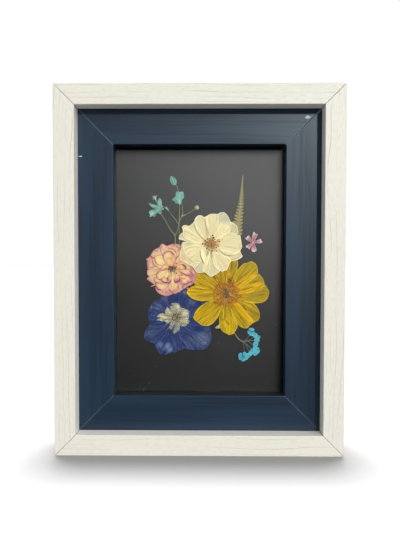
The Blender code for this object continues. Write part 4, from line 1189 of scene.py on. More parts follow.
# %% Blue sepals
BLUE_OUTLINES = {
    "top": (0.2, [(174, 314), (167, 306), (161.5, 300.5), (161, 298), (162, 295), (165, 291), (172, 288),
        (180, 288), (186, 288.5), (189.2, 291.5), (191, 297), (189, 304), (184, 310), (178, 315)]),
    "left": (0.2, [(173, 318), (163, 320), (156, 322), (152, 323.4), (149, 325.5), (146.8, 328.2),
        (145.2, 331.3), (144.2, 334.6), (144, 337.2), (145.6, 339.4), (149, 341.6), (153.7, 343),
        (159, 342), (165, 336.5), (170, 329.5), (174, 321)]),
    "lower_right": (0.2, [(178, 318.5), (190, 320), (200, 323), (207, 324.3), (209.2, 326.5), (210.5, 330),
        (211.3, 335), (211.4, 340), (209.5, 343.5), (207.8, 346), (205.5, 348.8), (201, 349.6),
        (196, 350.1), (191, 349.8), (187, 348.8), (184, 348.2), (181.6, 348.6), (179.5, 341), (176.5, 331),
        (175, 320)]),
    "upper_left": (1, [(174, 319), (166, 323.5), (158, 325.6), (151.5, 324), (149.8, 322), (148.4, 318.5),
        (147.8, 315), (148.2, 311.5), (149.8, 308), (152, 304.5), (155, 301.5), (159, 299.6), (163, 299.8),
        (168.5, 304.5), (175, 315)]),
    "right": (1, [(176, 317), (180, 309), (185, 301.5), (190, 297.2), (196, 298.5), (203, 303.3),
        (207, 308), (208, 315), (206, 321.5), (201, 325.6), (193, 325.8), (185, 323), (177, 319.5)]),
    "bottom_middle": (0.7, [(175, 320), (178.5, 330), (181.3, 340), (182.3, 348.3), (180.8, 350.1),
        (178, 350.6), (175.8, 352), (173.7, 352.9), (172, 351.3), (171, 345), (172, 335), (173.5, 322)]),
    "bottom_left": (1.3, [(174.5, 320), (167, 329), (159.5, 336), (154.4, 341.5), (154.3, 344.5),
        (156, 347.5), (158, 350.6), (159.5, 353.3), (161.2, 354.4), (165, 354.7), (168.8, 353.8),
        (171, 351.9), (173, 348.5), (175.6, 343.5), (177.5, 336), (177.5, 322)]),
}
BLUE_PATCHES = {
    "grey": [(201, 339, 9.5, 7, -20, 1), (152, 333, 8, 5, 0, 0.6), (190, 343, 6, 4, -30, 0.5),
        (207, 330, 3, 5, 0, 0.4)],
    "warm": [(196, 329, 8, 5, 15, 1), (164, 340, 5, 4.5, 0, 0.6), (180, 299, 8, 4, 0, 0.6),
        (152, 320, 4, 4, 0, 0.5), (172, 338, 5, 5, 0, 0.6), (183, 306, 4, 4, 0, 0.4),
        (162, 349, 2.5, 4, -20, 0.6), (198, 306, 6, 4, -30, 0.4)],
    "pale": [(203, 337, 6, 5, -20, 0.3), (167.6, 345.8, 2.6, 3.4, -30, 0.9), (169.6, 349.4, 3, 3, 20, 0.8),
        (160.4, 344.6, 3, 3.4, -10, 0.45), (164.6, 348.6, 1.4, 2, 0, 0.5), (186, 293, 4, 1.8, -25, 0.5),
        (165, 298, 4, 3, 0, 0.25), (151, 307, 1.6, 2.2, 0, 0.3), (158, 307, 3.4, 6, -10, 0.25),
        (203.6, 302.8, 2, 1.2, -20, 0.8), (192, 301.6, 3, 4.5, 30, 0.25), (204, 343, 3, 2, 0, 0.5)],
}
BLUE_LINES = {
    "dark": [(0.9, 1.1, [(168.2, 329.2), (169.6, 332), (172, 333.6), (175.8, 333.8)]),
        (0.6, 1.1, [(149.6, 323.4), (154, 324.6), (160, 324.6), (165, 323)]), (0.55, 1, [(154, 334.6),
        (158.4, 332.6), (164, 330.4)]), (0.4, 1, [(153, 337), (158, 335.4), (163, 333)]),
        (0.35, 1, [(150, 329.6), (155, 329), (160, 328.4)]), (0.35, 1, [(180, 334), (186, 339),
        (193, 345.6)]), (0.3, 0.9, [(176.6, 338), (181, 342), (184, 347)]), (0.3, 0.9, [(186, 333.6),
        (192, 337.6), (197, 343)]), (0.35, 1, [(167.4, 335.6), (170.6, 340), (174, 344)]),
        (0.4, 1, [(153.6, 309), (156.6, 311), (160.6, 313.6)]), (0.4, 1, [(161.6, 303), (164.6, 307),
        (168, 311)]), (0.45, 1.1, [(185, 299), (184.4, 303), (182, 308)]), (0.35, 1, [(197, 303),
        (194, 309), (190, 314)]), (0.4, 1, [(176.6, 294), (177, 298), (176, 302.6)]),
        (0.4, 1.4, [(190, 297.6), (196, 300), (203, 304.4)])],
    "light": [(0.4, 0.9, [(159.6, 305), (163, 309), (166, 312)]), (0.5, 0.9, [(181.6, 293.6), (184, 292),
        (188.6, 293)]), (0.4, 0.9, [(166.4, 294), (165, 299), (166.6, 303)]), (0.35, 0.9, [(150, 315),
        (155, 316), (159, 317.6)]), (0.35, 0.9, [(188, 336), (196, 343), (201, 347)]),
        (0.4, 1, [(179, 336.6), (184, 342), (189, 347.6)]), (0.6, 1.1, [(166.6, 344), (169, 348),
        (168.4, 351)]), (0.4, 1, [(158.6, 343), (161, 347), (163, 351)]), (0.35, 0.9, [(190, 305),
        (186, 310), (183, 313)]), (0.35, 0.9, [(184, 327), (192, 331), (200, 333.6)]),
        (0.35, 0.9, [(155, 327), (160, 327), (165, 326)]), (0.4, 0.9, [(172, 336), (173.6, 341),
        (176, 347)]), (0.3, 1.2, [(210, 331), (210.4, 336), (209.6, 341)])],
}
blue_finish = petal_finish(
    "dried blue sepal", thin=(38, 51, 93), full=(32, 46, 97), foot=(38, 50, 96), rim=(70, 82, 114),
    dark=(15, 24, 58), light=(74, 91, 144), alpha=(0.9, 0.95), foot_reach=(0.0, 0.3), rim_width=0.5,
    rim_share=0.5, dark_share=0.6, light_share=0.55, vein_gap=0.65, fibres=0.55, blotch=0.8,
    blotch_size=0.95, blotch_colour=(64, 79, 122), grey=(80, 93, 120), warm=(26, 42, 100),
    pale=(134, 147, 170), line_dark=(16, 20, 44), line_light=(88, 104, 148))
blue = lay_out(
    BLUE_OUTLINES, "dried_blue_sepal_", blue_finish, "blue_sepal", "blue_sepal_", seed=70,
    joined={"bottom_middle": "bottom_left"}, patches=BLUE_PATCHES, lines=BLUE_LINES, spread=0.7)
print(len(blue), "blue sheets")

# %% [markdown]
# The rosette's petals are small and torn. The eleven that can be told apart are traced. Between
# and over them a rule strews narrow shreds around the middle, which gives the ragged, brushy look.

# %% Rosette
# Each petal: its layer and its outline.
ROSETTE_OUTLINES = {
    "a": (2.2, [(175.5, 316), (171, 311.5), (169.8, 308), (170.3, 305.5), (172, 305.4), (175, 310)]),
    "b": (2.2, [(175.4, 316), (173, 309.5), (172.2, 305.4), (171.5, 303.2), (175, 302.6), (178.2, 303.6),
        (180.6, 306.3), (181, 309), (179.5, 312.5), (177, 316)]),
    "c": (2.2, [(177, 316.5), (181, 310), (183.5, 309.3), (186, 309), (188.6, 310.5), (189.4, 313),
        (187.8, 315.6), (184, 317), (178, 317.5)]),
    "d": (2.2, [(177, 316.5), (183, 314.5), (188.4, 314.4), (189.6, 317.2), (188.4, 319.6), (190.3, 321.5),
        (187.5, 324.6), (185.4, 326.4), (182.4, 325.8), (180, 324), (177, 318.5)]),
    "e": (2.2, [(177, 318), (180.3, 325.2), (179.5, 327.3), (178.3, 330.2), (176, 332.7), (174, 333.7),
        (172.7, 332.4), (173.8, 328.8), (175, 325), (175.5, 319)]),
    "f": (2.2, [(176, 318.5), (175, 324.5), (173.3, 327.2), (171.5, 329.4), (169.9, 329.1), (168.9, 327),
        (170, 323.8), (174.5, 318.5)]),
    "g": (2.2, [(175.4, 318.4), (170.5, 322.5), (167.8, 323.5), (165.3, 322), (163.8, 320.2), (166, 318.8),
        (170, 317.8), (175, 317)]),
    "h": (2.2, [(175.2, 318), (167, 319.8), (161.2, 321.6), (159.5, 320.5), (156.2, 320.9), (157.5, 318.7),
        (160, 317.8), (156.2, 316.9), (158.4, 314.8), (160.6, 313.5), (163.3, 313.1), (167, 314.5),
        (175, 316.6)]),
    "i": (2.2, [(175, 317), (169, 315.5), (165, 313.7), (165.4, 309.6), (167.4, 306.8), (169.2, 309.2),
        (171.5, 312), (175.6, 316)]),
    "j": (2, [(177, 316.4), (179.5, 310), (180.4, 307), (182, 307.6), (184, 308), (186.4, 309.6),
        (186.4, 312), (183, 314.6), (178, 317)]),
    "k": (2, [(177, 318), (179.6, 324), (181.2, 326.4), (183.6, 326.2), (186, 325.6), (185, 321.6),
        (178, 317.4)]),
}


def ring(outlines, first, last, seed, **looks):
    """Sheets of one ring of a crowded flower, to be joined into one piece. The ring takes the
    layers from first up to last."""
    petals = []
    for number, (layer, pixels) in enumerate(outlines.values()):
        petals.append(Petal(layer, traced(pixels, layer), seed + number))
    parts = []
    for petal in petals:
        if first <= petal.layer < last:
            behind = [other for other in petals if other.layer < petal.layer]
            parts.append(fan(petal, behind, **looks))
    return parts


def shreds(centre, layer, count, reach, width, seed, **looks):
    """Narrow torn petals around a centre. Lengths are in millimetres."""
    chance = np.random.default_rng(seed)
    made = []
    for k in range(count):
        angle = tau * (k + chance.uniform(-0.4, 0.4)) / count
        long = chance.uniform(*reach)
        out = np.array((cos(angle), sin(angle)))
        side = np.array((-out[1], out[0])) * chance.uniform(*width) / 2
        tip = out * long
        foot = at_pixel(*centre, layer) + tip * chance.uniform(0.1, 0.4)
        bend = side * chance.uniform(-1, 1)
        outline = [
            foot - side * 0.3, foot - side + (tip + bend) * 0.5, foot - side * 0.8 + tip * 0.9 + bend,
            foot + tip + bend, foot + side * 0.7 + tip * 0.85 + bend, foot + side + (tip + bend) * 0.5,
            foot + side * 0.3]
        made.append(Petal(layer + 0.04 * (k % 6), outline, seed * 50 + k))
    return [fan(petal, [], bulge=0.12, **looks) for petal in made]


ROSETTE_PATCHES = {
    "grey": [(187, 325, 2.4, 2, 0, 0.6), (188.6, 311, 2, 2.4, 0, 0.7), (188.8, 320, 1.8, 4, 0, 0.7),
        (175, 329, 3, 4.6, 0, 1), (171, 326.6, 2.4, 2.6, 0, 0.8), (172.6, 306, 2, 2.6, 0, 0.8),
        (184.6, 324, 2.6, 1.6, 0, 0.5), (158.6, 319, 2, 1, 0, 0.6)],
    "warm": [(166.5, 318, 2.5, 1.6, 0, 0.9), (176, 323.4, 2.6, 1.8, 0, 0.9), (181, 320, 2.6, 2.4, 0, 0.9),
        (171, 315, 2.4, 2, 0, 0.6), (179, 311, 2.6, 2, 0, 0.6), (176, 317, 6.5, 6.5, 0, 0.5),
        (183, 316, 3.4, 3.4, 0, 0.6)],
    "pale": [(166, 320.8, 2.4, 1, 0, 0.9), (160.5, 320.4, 2, 1, 0, 0.9), (178, 307, 2, 2.4, 0, 0.8),
        (185, 319, 3, 2, 0, 0.8), (185, 313, 3, 2.4, 0, 0.7), (170, 313, 2, 2, 0, 0.6)],
}
ROSETTE_LINES = {
    "dark": [(0.7, 0.8, [(176, 315), (176.6, 311), (176.4, 307)]), (0.7, 0.8, [(174, 314), (172, 311),
        (170.6, 307.6)]), (0.7, 0.8, [(179, 315), (182, 312), (185.6, 311)]), (0.7, 0.8, [(180, 318),
        (184, 317.6), (188, 317)]), (0.7, 0.8, [(179, 321), (182, 323), (185, 325.4)]),
        (0.8, 0.9, [(175.6, 322), (174.4, 325.4), (172, 329)]), (0.7, 0.8, [(172, 319), (167, 319.4),
        (161, 319)]), (0.6, 0.8, [(172, 316), (167, 315.4), (162, 315)]), (0.6, 0.8, [(177.6, 323),
        (177.4, 327), (175.6, 331)])],
    "light": [(0.8, 0.8, [(178, 313), (178.6, 309), (178, 305.4)]), (0.8, 0.8, [(181, 316), (184, 314.6),
        (187.4, 313.4)]), (0.8, 0.8, [(172, 317.6), (167, 317.6), (162, 316.6)]), (0.8, 0.8, [(181, 319.6),
        (184.6, 320.6), (188, 321)]), (0.7, 0.8, [(173, 313.6), (170, 311), (168, 309)])],
}
rosette_finish = petal_finish(
    "dried rosette petal", thin=(184, 176, 138), full=(204, 186, 132), foot=(212, 180, 112),
    rim=(158, 166, 166), dark=(122, 118, 98), light=(216, 208, 168), alpha=(0.86, 0.92),
    foot_reach=(0.1, 0.7), rim_width=0.8, rim_share=0.6, band=(146, 156, 154), band_width=1.6,
    band_share=0.5, dark_share=0.36, light_share=0.5, vein_gap=0.7, fibres=0.4, blotch=0.4,
    blotch_size=1.6, blotch_colour=(128, 132, 126), grey=(112, 122, 128), warm=(222, 190, 118),
    pale=(218, 214, 182), line_dark=(116, 110, 88), line_light=(226, 216, 174), rim_density=-1.2)
BLUE_MIDDLE = (176.0, 317.3)
LONG_SHREDS = dict(layer=2.9, count=44, reach=(4.6, 8.2), width=(0.4, 1.0), seed=8)
SHORT_SHREDS = dict(layer=3.2, count=30, reach=(2.4, 5.4), width=(0.5, 1.2), seed=9)
looks = dict(patches=ROSETTE_PATCHES, lines=ROSETTE_LINES, relief=0.08, curl=0.08, rag=1.1)
parts = ring(ROSETTE_OUTLINES, first=0, last=9, seed=90, **looks)
parts += shreds(BLUE_MIDDLE, **LONG_SHREDS, **looks) + shreds(BLUE_MIDDLE, **SHORT_SHREDS, **looks)
print(len(parts), "sheets in the rosette")
piece("dried_blue_rosette", parts, rosette_finish, "blue_rosette")

# %% [markdown]
# ## Rose
# A small double rose, pressed flat: some thirty cream petals with magenta rims in three rings.
# Each sheet lies a little nearer the glass than the one it overlaps. The rims are the most telling
# thing about it, so they were drawn one by one as tinted lines. The rim that the finish gives to
# every petal is broader and softer, and lies under them.

# %% Rose petals
# Each petal: its layer and its outline.
ROSE_OUTLINES = {
    "o1": (2, [(171, 265), (168, 254), (167, 249), (167.2, 246), (169.2, 245), (172, 244), (175, 243.9),
        (178.6, 244.3), (181.6, 246.4), (182, 250), (179, 256), (173.5, 265)]),
    "o2": (2.25, [(170.5, 266), (163, 256), (160, 250), (159.5, 247.3), (160, 245.6), (161.2, 244.1),
        (163, 243.8), (165.2, 244.9), (167, 246), (168.5, 248), (170, 254), (172, 265)]),
    "o3": (2, [(170, 267), (160, 262), (153, 259), (150.5, 256), (151.3, 253.8), (152.6, 251.5),
        (154.2, 249.8), (157, 248.3), (159.6, 247.3), (162, 250), (165, 256), (171, 266)]),
    "o4": (2.25, [(170, 268.5), (160, 269.5), (152, 270.2), (148, 269.5), (147.3, 267), (147, 264),
        (146.9, 260.6), (146.1, 258.9), (148.5, 257.8), (150.2, 256.2), (155, 258), (170, 266.5)]),
    "o5": (2, [(170, 269.5), (162, 274), (155, 277.4), (149.4, 276.4), (147.3, 274.5), (147, 272),
        (148, 269.6), (152, 267.8), (160, 266.5), (170, 267.5)]),
    "o6": (2.2, [(170.5, 270), (163, 277), (157, 282.4), (154.2, 284.2), (151.5, 282.7), (148.6, 280.5),
        (146.8, 279), (149.4, 276.5), (154, 274.5), (162, 271), (170, 268.5)]),
    "o7": (2, [(172.5, 270), (172.6, 284), (172.8, 293.4), (171, 294.6), (168.5, 295.8), (166, 296.1),
        (162, 295), (159, 293.5), (156.5, 291), (155.2, 288), (155.3, 285.5), (157, 282), (163, 277),
        (171, 269.5)]),
    "o8": (2.25, [(173, 269.5), (177, 282), (180.5, 290.8), (177.6, 292.5), (175.5, 293.9), (173, 293.4),
        (170.5, 291.5), (168.5, 289.5), (168.7, 284), (171.5, 270)]),
    "o9": (2.45, [(173.5, 269), (183, 275), (190, 280), (193, 283.3), (191.5, 284.8), (189, 285.8),
        (186, 287.4), (183, 289.6), (180.3, 290.8), (177.5, 286), (173, 270)]),
    "o10": (2.6, [(173, 267.5), (184, 269), (191, 269), (194.5, 270.6), (196, 274), (196.3, 277),
        (195, 280.5), (193.2, 283.2), (189, 283), (182, 278.5), (173, 269.5)]),
    "o11": (2.45, [(173, 267), (181, 261), (187, 260.5), (190.5, 265), (192.4, 267.4), (194.6, 270.7),
        (193.5, 274), (188, 275), (181, 272), (173.4, 268.6)]),
    "o12": (2.2, [(172.5, 267), (177, 258), (182, 250), (185, 254), (187, 259.5), (184, 264),
        (173.5, 268)]),
    "m4": (2.75, [(171, 269), (160, 268.8), (156.5, 267.2), (153.8, 265.3), (152.4, 262.8), (152.2, 259.5),
        (154, 257), (160, 259), (171, 267)]),
    "m3": (3.1, [(171, 268), (162, 266), (157.6, 264.8), (155.2, 262), (154.3, 259), (155, 256.3),
        (158, 255), (162, 254.8), (166, 258), (172, 267)]),
    "m2": (2.8, [(172, 267), (169, 257), (167.8, 251), (168.7, 248.8), (171, 248.1), (173.6, 249.3),
        (175.6, 251.6), (176.8, 254.5), (176.4, 260), (173, 267)]),
    "m1": (3.4, [(171.5, 267.5), (166, 263.4), (163.8, 260), (163.2, 256.5), (164, 253.8), (166, 252.3),
        (168.5, 251.4), (170.4, 251.2), (172, 252.8), (173.8, 254.8), (175.2, 256.7), (175.2, 261),
        (173, 267)]),
    "m11": (2.75, [(171, 270), (163, 279), (156, 283), (155.7, 286), (157.5, 289.3), (161, 290),
        (166, 288.5), (169, 284), (172.5, 270.5)]),
    "m12": (2.9, [(172, 270), (169, 282), (168.3, 288.5), (170.5, 290.5), (173.8, 291.2), (176.5, 288.5),
        (178.5, 284.5), (176, 278), (173, 270)]),
    "m5": (3.2, [(170, 268.5), (163, 270), (159.4, 271.2), (157.4, 273.2), (156.3, 275.6), (156.7, 277.7),
        (158.3, 279.5), (160.6, 280.2), (162.4, 279.4), (166, 275.5), (171, 269.5)]),
    "m6": (3.5, [(170.8, 269), (165, 274.5), (161.5, 278.6), (162, 281.2), (164, 282.6), (167, 283.1),
        (169.3, 282.8), (170.9, 281.2), (171.9, 278.3), (172, 270)]),
    "m10": (2.9, [(173.5, 269), (181, 273), (187, 275.6), (191.5, 278.5), (192.5, 281), (190, 283),
        (185, 284), (180.5, 282), (173, 270)]),
    "m7": (3.4, [(172.3, 269.5), (172.8, 276), (173.4, 279.2), (174.2, 281.4), (175.7, 282.9), (178, 282.1),
        (179.8, 280.9), (180.2, 278.7), (179.2, 276), (173.6, 269)]),
    "m8": (3.2, [(173.5, 268), (180, 268), (187, 268.8), (190.5, 271.2), (191, 274.5), (187, 275.2),
        (183, 273.7), (173.5, 269)]),
    "m9": (3.6, [(173, 267.5), (178.5, 264.6), (182, 264), (184.4, 265), (185.7, 266.8), (185.8, 269),
        (184.8, 270), (180, 270), (173.6, 268.6)]),
    "m13": (3, [(173, 267), (176, 259), (177.5, 255.8), (179.6, 257.2), (179.5, 261), (176.5, 265.5),
        (173.5, 267.4)]),
    "i1": (3.8, [(172, 268), (167, 264.5), (166.4, 259.8), (169, 257.5), (172.3, 259.5), (173.4, 263.5),
        (172.8, 268)]),
    "i2": (3.9, [(172, 268.5), (166, 268.6), (161, 271), (161.2, 267.8), (164, 264.4), (168.5, 264.6),
        (172, 268)]),
    "i3": (3.9, [(172, 268.5), (170.2, 273.8), (166.5, 278.5), (164.2, 277.4), (165.2, 273),
        (168.5, 269.6)]),
    "i4": (3.8, [(172.6, 269), (174.6, 273), (175.6, 277.6), (172.8, 279.4), (170.6, 276), (171.2, 271)]),
    "i5": (3.8, [(173, 268.5), (178, 270.2), (182.5, 274.6), (180.5, 276.2), (176.5, 273.8),
        (172.8, 269.4)]),
}
ROSE_PATCHES = {
    "grey": [(193, 277, 5, 9, 0, 0.75), (188, 284, 6, 3, 25, 0.6), (148.6, 262, 2.4, 7, 0, 0.55),
        (157, 248.6, 7, 2.4, 30, 0.4), (176, 245.4, 7, 2, 0, 0.5), (151.4, 281, 5, 2, -30, 0.5),
        (157, 289, 3.4, 5.5, 30, 0.6), (166, 293, 8, 3.4, 0, 0.7), (178, 280.6, 6, 3, 10, 0.85),
        (184, 267.4, 3, 3, 0, 0.4), (174, 292, 5, 3.4, 20, 0.55), (166, 283.4, 6, 1.6, 0, 0.6),
        (189, 274.6, 5, 2.4, 0, 0.55), (179.6, 249.6, 2.4, 4, 0, 0.35)],
    "warm": [(172, 262, 8, 6, 0, 0.5), (178, 270, 5, 5, 0, 0.5)],
    "pale": [(160, 261, 5, 6, 0, 0.4), (158.6, 279.6, 2, 2, 0, 0.8), (172.6, 280.6, 1.5, 3, 0, 0.8),
        (165, 273, 4, 4, 0, 0.5), (193.4, 272, 1.3, 2.2, 0, 0.5), (190, 283.2, 2, 1.3, -30, 0.6),
        (150, 266, 1.8, 3, 0, 0.4), (153, 273.6, 4, 2.4, 0, 0.5), (158, 252.6, 2.6, 2.2, 0, 0.4)],
}
ROSE_LINES = {
    "dark": [(1, 1.3, [(181.6, 264.7), (183.4, 265), (184.9, 266.3), (185.7, 267.7), (185.5, 269.2)]),
        (0.35, 1.2, [(179.8, 265.8), (179.4, 268), (179.8, 269.8)]), (0.25, 1, [(178.4, 260), (183, 262),
        (188, 265), (192, 269)])],
    "tint": [(0.6, 1.1, [(164.2, 260), (163.2, 257.5), (163, 255), (164.2, 252.9), (166.2, 251.7),
        (168.5, 251), (170.5, 250.9)]), (0.95, 1.2, [(170.2, 250.8), (171.8, 252.4), (173.2, 254.2),
        (174.8, 255.4)]), (0.55, 1.1, [(168.2, 249.2), (170, 248.3), (172, 248.6), (174, 249.7),
        (175.4, 251.2), (175.8, 253)]), (0.75, 1.1, [(176.2, 246), (177.6, 247.4), (179.2, 247.9),
        (181, 247.5)]), (0.7, 1.2, [(180.9, 245), (181.2, 247.4), (179.5, 249.3), (177.6, 250.8)]),
        (0.7, 1.2, [(174.2, 244.4), (174.6, 245.6)]), (0.5, 1, [(161, 244.6), (161.5, 246.6), (161, 248.6),
        (160.6, 250.6), (160.6, 252.6)]), (0.65, 1.1, [(154.4, 255.5), (154.5, 258), (154.8, 260.5),
        (155.6, 262.8), (157, 264.6), (158.6, 265.6)]), (0.6, 1.1, [(152.3, 259.5), (152.7, 262),
        (153.6, 264.4), (155.2, 266.2), (157.2, 267)]), (0.9, 1.5, [(151.2, 255.8), (151.9, 257.4),
        (151.8, 259.2)]), (0.7, 1.2, [(149.6, 267.8), (152, 267.5), (154.8, 266.7)]),
        (0.8, 1.1, [(159, 271), (157.4, 273), (156.5, 275), (156.7, 277), (157.8, 278.7), (159.4, 279.6),
        (161, 279.2), (161.6, 278.2)]), (1, 1.3, [(161.2, 279.8), (162, 281.4), (163.6, 282.3),
        (166, 282.6), (168.6, 282.6), (170, 281.9), (171.2, 280.4), (171.8, 278.8)]),
        (1, 1.2, [(173.4, 279), (174.2, 281), (175.6, 282.3), (177.2, 281.6), (178.8, 280.8),
        (179.7, 279.6), (179.9, 278)]), (1, 1.9, [(167.3, 277.3), (167.8, 279), (168.4, 281.4)]),
        (0.6, 1.1, [(167.8, 276), (169.6, 276.2)]), (0.7, 1.2, [(154.7, 277), (154.4, 279), (155, 281.2),
        (156.4, 282.6), (158.4, 283.2), (160.6, 283.2), (162.6, 283.8)]), (0.85, 1.3, [(154.8, 283.8),
        (156, 286), (157.5, 288.4), (159, 289.6), (161.6, 289.9)]), (0.4, 1, [(170.6, 289.4), (171, 287),
        (172.2, 285)]), (0.7, 1.2, [(168.4, 289.2), (170, 290.6), (171.6, 291.9), (173.6, 293)]),
        (0.55, 1, [(178.4, 284.8), (178.3, 287.4), (177.4, 289.6), (176, 291.8)]),
        (0.95, 1.3, [(183.4, 284.8), (182.8, 287), (182.4, 289)]), (0.85, 1.3, [(180, 283.6),
        (182.4, 284.1), (185, 284.2), (187.4, 283.2), (189.8, 281.9), (192, 281)]),
        (0.5, 1, [(187.7, 279.5), (187.9, 281.5), (186.6, 283.4)]), (0.6, 1.1, [(180.2, 273.2),
        (181.6, 275), (182.8, 276.2)]), (0.5, 0.9, [(179.4, 271), (181.6, 272.4), (184, 274), (186, 275.5),
        (188.2, 276.5)]), (0.55, 1.1, [(181, 277.8), (184, 278.8), (186.6, 278.2)]),
        (0.7, 1.2, [(186.4, 275.3), (189, 275.8), (191.4, 276.6), (193.6, 275.4)]),
        (0.65, 1.3, [(190.4, 270.6), (192, 273), (193.2, 275.4)]), (0.5, 1.1, [(190.2, 266), (190.9, 268),
        (191.2, 270.4)]), (0.7, 1.3, [(175.2, 258.8), (176.4, 257.5), (178, 256.8)]),
        (0.35, 1, [(170.6, 260.4), (171.6, 258.4), (173, 257), (174.6, 255.9)]),
        (0.55, 1.4, [(147.4, 259.4), (147.6, 263), (148.2, 267), (148.2, 270)]), (0.5, 1.2, [(155, 250.6),
        (156.6, 251.4), (158.4, 250.8)])],
    "light": [(0.8, 1.1, [(168, 272), (167.4, 275), (165.6, 277.8)]), (0.9, 1.3, [(172.4, 277),
        (172.6, 280), (173, 283.6)]), (0.7, 1.2, [(156.6, 279.8), (158.6, 281.2), (160.6, 280.8)]),
        (0.6, 1.2, [(163, 262), (159, 260.4), (156.6, 258)]), (0.5, 1.2, [(170, 274), (166, 274.6),
        (161, 277)])],
}
rose_finish = petal_finish(
    "dried rose petal", thin=(216, 186, 144), full=(224, 197, 132), foot=(218, 186, 104),
    rim=(158, 62, 104), dark=(196, 140, 118), light=(232, 208, 152), alpha=(0.88, 0.94),
    foot_reach=(0.2, 0.8), rim_width=0.8, rim_share=0.8, band=(198, 110, 136), band_width=1.4,
    band_share=0.55, dark_share=0.35, light_share=0.45, vein_gap=1.0, fibres=0.25, blotch=0.3,
    blotch_size=2.0, blotch_colour=(200, 156, 124), grey=(178, 88, 126), warm=(212, 170, 96),
    pale=(228, 212, 150), line_dark=(104, 20, 50), line_tint=(136, 30, 92), line_light=(236, 220, 156))
ROSE_RINGS = {"outer": (0.0, 2.7), "middle": (2.7, 3.75), "inner": (3.75, 9.0)}
ROSE_STALK = [(155.4, 284.6), (153.4, 285.5), (151.1, 286.6)]
ROSE_STALK_LAYER, ROSE_STALK_RADII = 1.6, (0.3, 0.24)
looks = dict(
    patches=ROSE_PATCHES, lines=ROSE_LINES, relief=0.06, pleat=0.04, curl=0.14, rag=0.08, spread=0.8)
for key, (first, last) in ROSE_RINGS.items():
    parts = ring(ROSE_OUTLINES, first, last, seed=110, **looks)
    print(len(parts), "petals in the", key, "ring")
    if key == "outer":
        path = smooth_line([spot(u, v, ROSE_STALK_LAYER) for u, v in ROSE_STALK], per_span=4)
        points, faces, _ = tube(path, ROSE_STALK_RADII, sides=6)
        parts.append((points, faces, plain_values(len(points))))
    piece("dried_rose_%s_petals" % key, parts, rose_finish, "rose_%s_petals" % key)

# %% [markdown]
# ## Stamens
# In the middle of each open flower is a tuft of stamens: filaments, each with a pollen case at its
# end, pressed down into a brown mat. Every filament is a tapering tube, every case or scrap of the
# mat a small lump. The stored shade picks its colour, from pale to dark brown. Hundreds of them are
# strewn by seeded chance, and only the cases that stand out in the photograph have their own place.

# %% Tufts
FILAMENT_START, FILAMENT_THICK = 0.1, 0.1


def tuft(centre, count, reach, case, seed, lift=0.25, thick=FILAMENT_THICK):
    """Filaments around a centre, each ending in a pollen case."""
    chance = np.random.default_rng(seed)
    parts = []
    for k in range(count):
        angle = tau * (k + chance.uniform(-0.4, 0.4)) / count
        length, bend = chance.uniform(*reach), chance.uniform(-0.5, 0.5)
        rise = lift * chance.uniform(0.6, 1.0)
        path = []
        for t in np.linspace(FILAMENT_START, 1, 5):
            turn = angle + bend * t * t
            up = -rise * sin(pi * t * 0.6)
            path.append(centre + np.array((cos(turn) * length * t, up, sin(turn) * length * t)))
        shade = chance.uniform(0.0, 1.0)
        parts.append(tube(path, (thick * 1.2, thick, thick * 0.7), sides=5, tone=shade * 0.6))
        size = case * chance.uniform(0.7, 1.25)
        turn = angle + chance.uniform(-1, 1)
        sides, tone = (size * 1.5, size * 0.8, size), 0.3 + 0.7 * shade
        parts.append(lump(path[-1], sides, turn=turn, tone=tone, seed=k, rough=0.15, detail=1))
    return parts


def mat(centre, radii, count, size, seed, inner=0.0, slim=0.6, lift=0.3, shades=(0.0, 1.0)):
    """Scraps pressed into a mat that fills an ellipse, or the outer part of one."""
    chance = np.random.default_rng(seed)
    parts = []
    for k in range(count):
        angle, share = chance.uniform(0, tau), np.sqrt(chance.uniform(inner**2, 1))
        rise = lift * (1 - 0.6 * share) * chance.uniform(0.3, 1.0)
        place = centre + np.array((cos(angle) * radii[0] * share, -rise, sin(angle) * radii[1] * share))
        long = chance.uniform(*size)
        turn = angle + chance.uniform(-0.6, 0.6)
        sides = (long, long * 0.3, long * slim * chance.uniform(0.7, 1.3))
        tone = chance.uniform(*shades)
        parts.append(lump(place, sides, turn=turn, tone=tone, seed=k, rough=0.15, detail=1))
    return parts


def cases_at(centre, cases, layer, seed):
    """Long filaments that reach to the cases seen one by one in the photograph."""
    parts = []
    for number, (u, v, size) in enumerate(cases):
        end = spot(u, v, layer, rise=0.3)
        path = []
        for t in np.linspace(0.2, 1, 5):
            path.append(centre + (end - centre) * t + np.array((0, -0.12 * sin(pi * t), 0)))
        parts.append(tube(path, (0.13, 0.09), sides=5, tone=0.25))
        sides, turn = (size * 1.3, size * 0.8, size), number * 1.3
        parts.append(lump(end, sides, turn=turn, tone=1.0, seed=seed + number, rough=0.12, detail=1))
    return parts


def tuft_finish(name, shades):
    """Brown stamens: the stored shade picks a colour between the given ones."""
    sheet = Finish(name, roughness=0.7)
    ramp = sheet.add("ValToRGB", {0: sheet.stored("tone")})
    points = ramp.color_ramp.elements
    while len(points) < len(shades):
        points.new(0.5)
    for number, colour in enumerate(shades):
        points[number].position = number / (len(shades) - 1)
        points[number].color = chart(colour)
    grain = sheet.noise(sheet.object_place(), scale=2600.0, detail=3.0, rough=0.7)
    sheet.colour(sheet.blend(sheet.span(grain, 0.4, 0.7, 0.0, 0.5), ramp.outputs[0], shades[-1]))
    sheet.relief(grain, strength=0.5, distance=0.0001)
    return sheet.material


# %% White flower's stamens
WHITE_MIDDLE = (211.6, 244.0)
WHITE_TUFT_LAYER, WHITE_CASE_LAYER = 6.3, 7.1
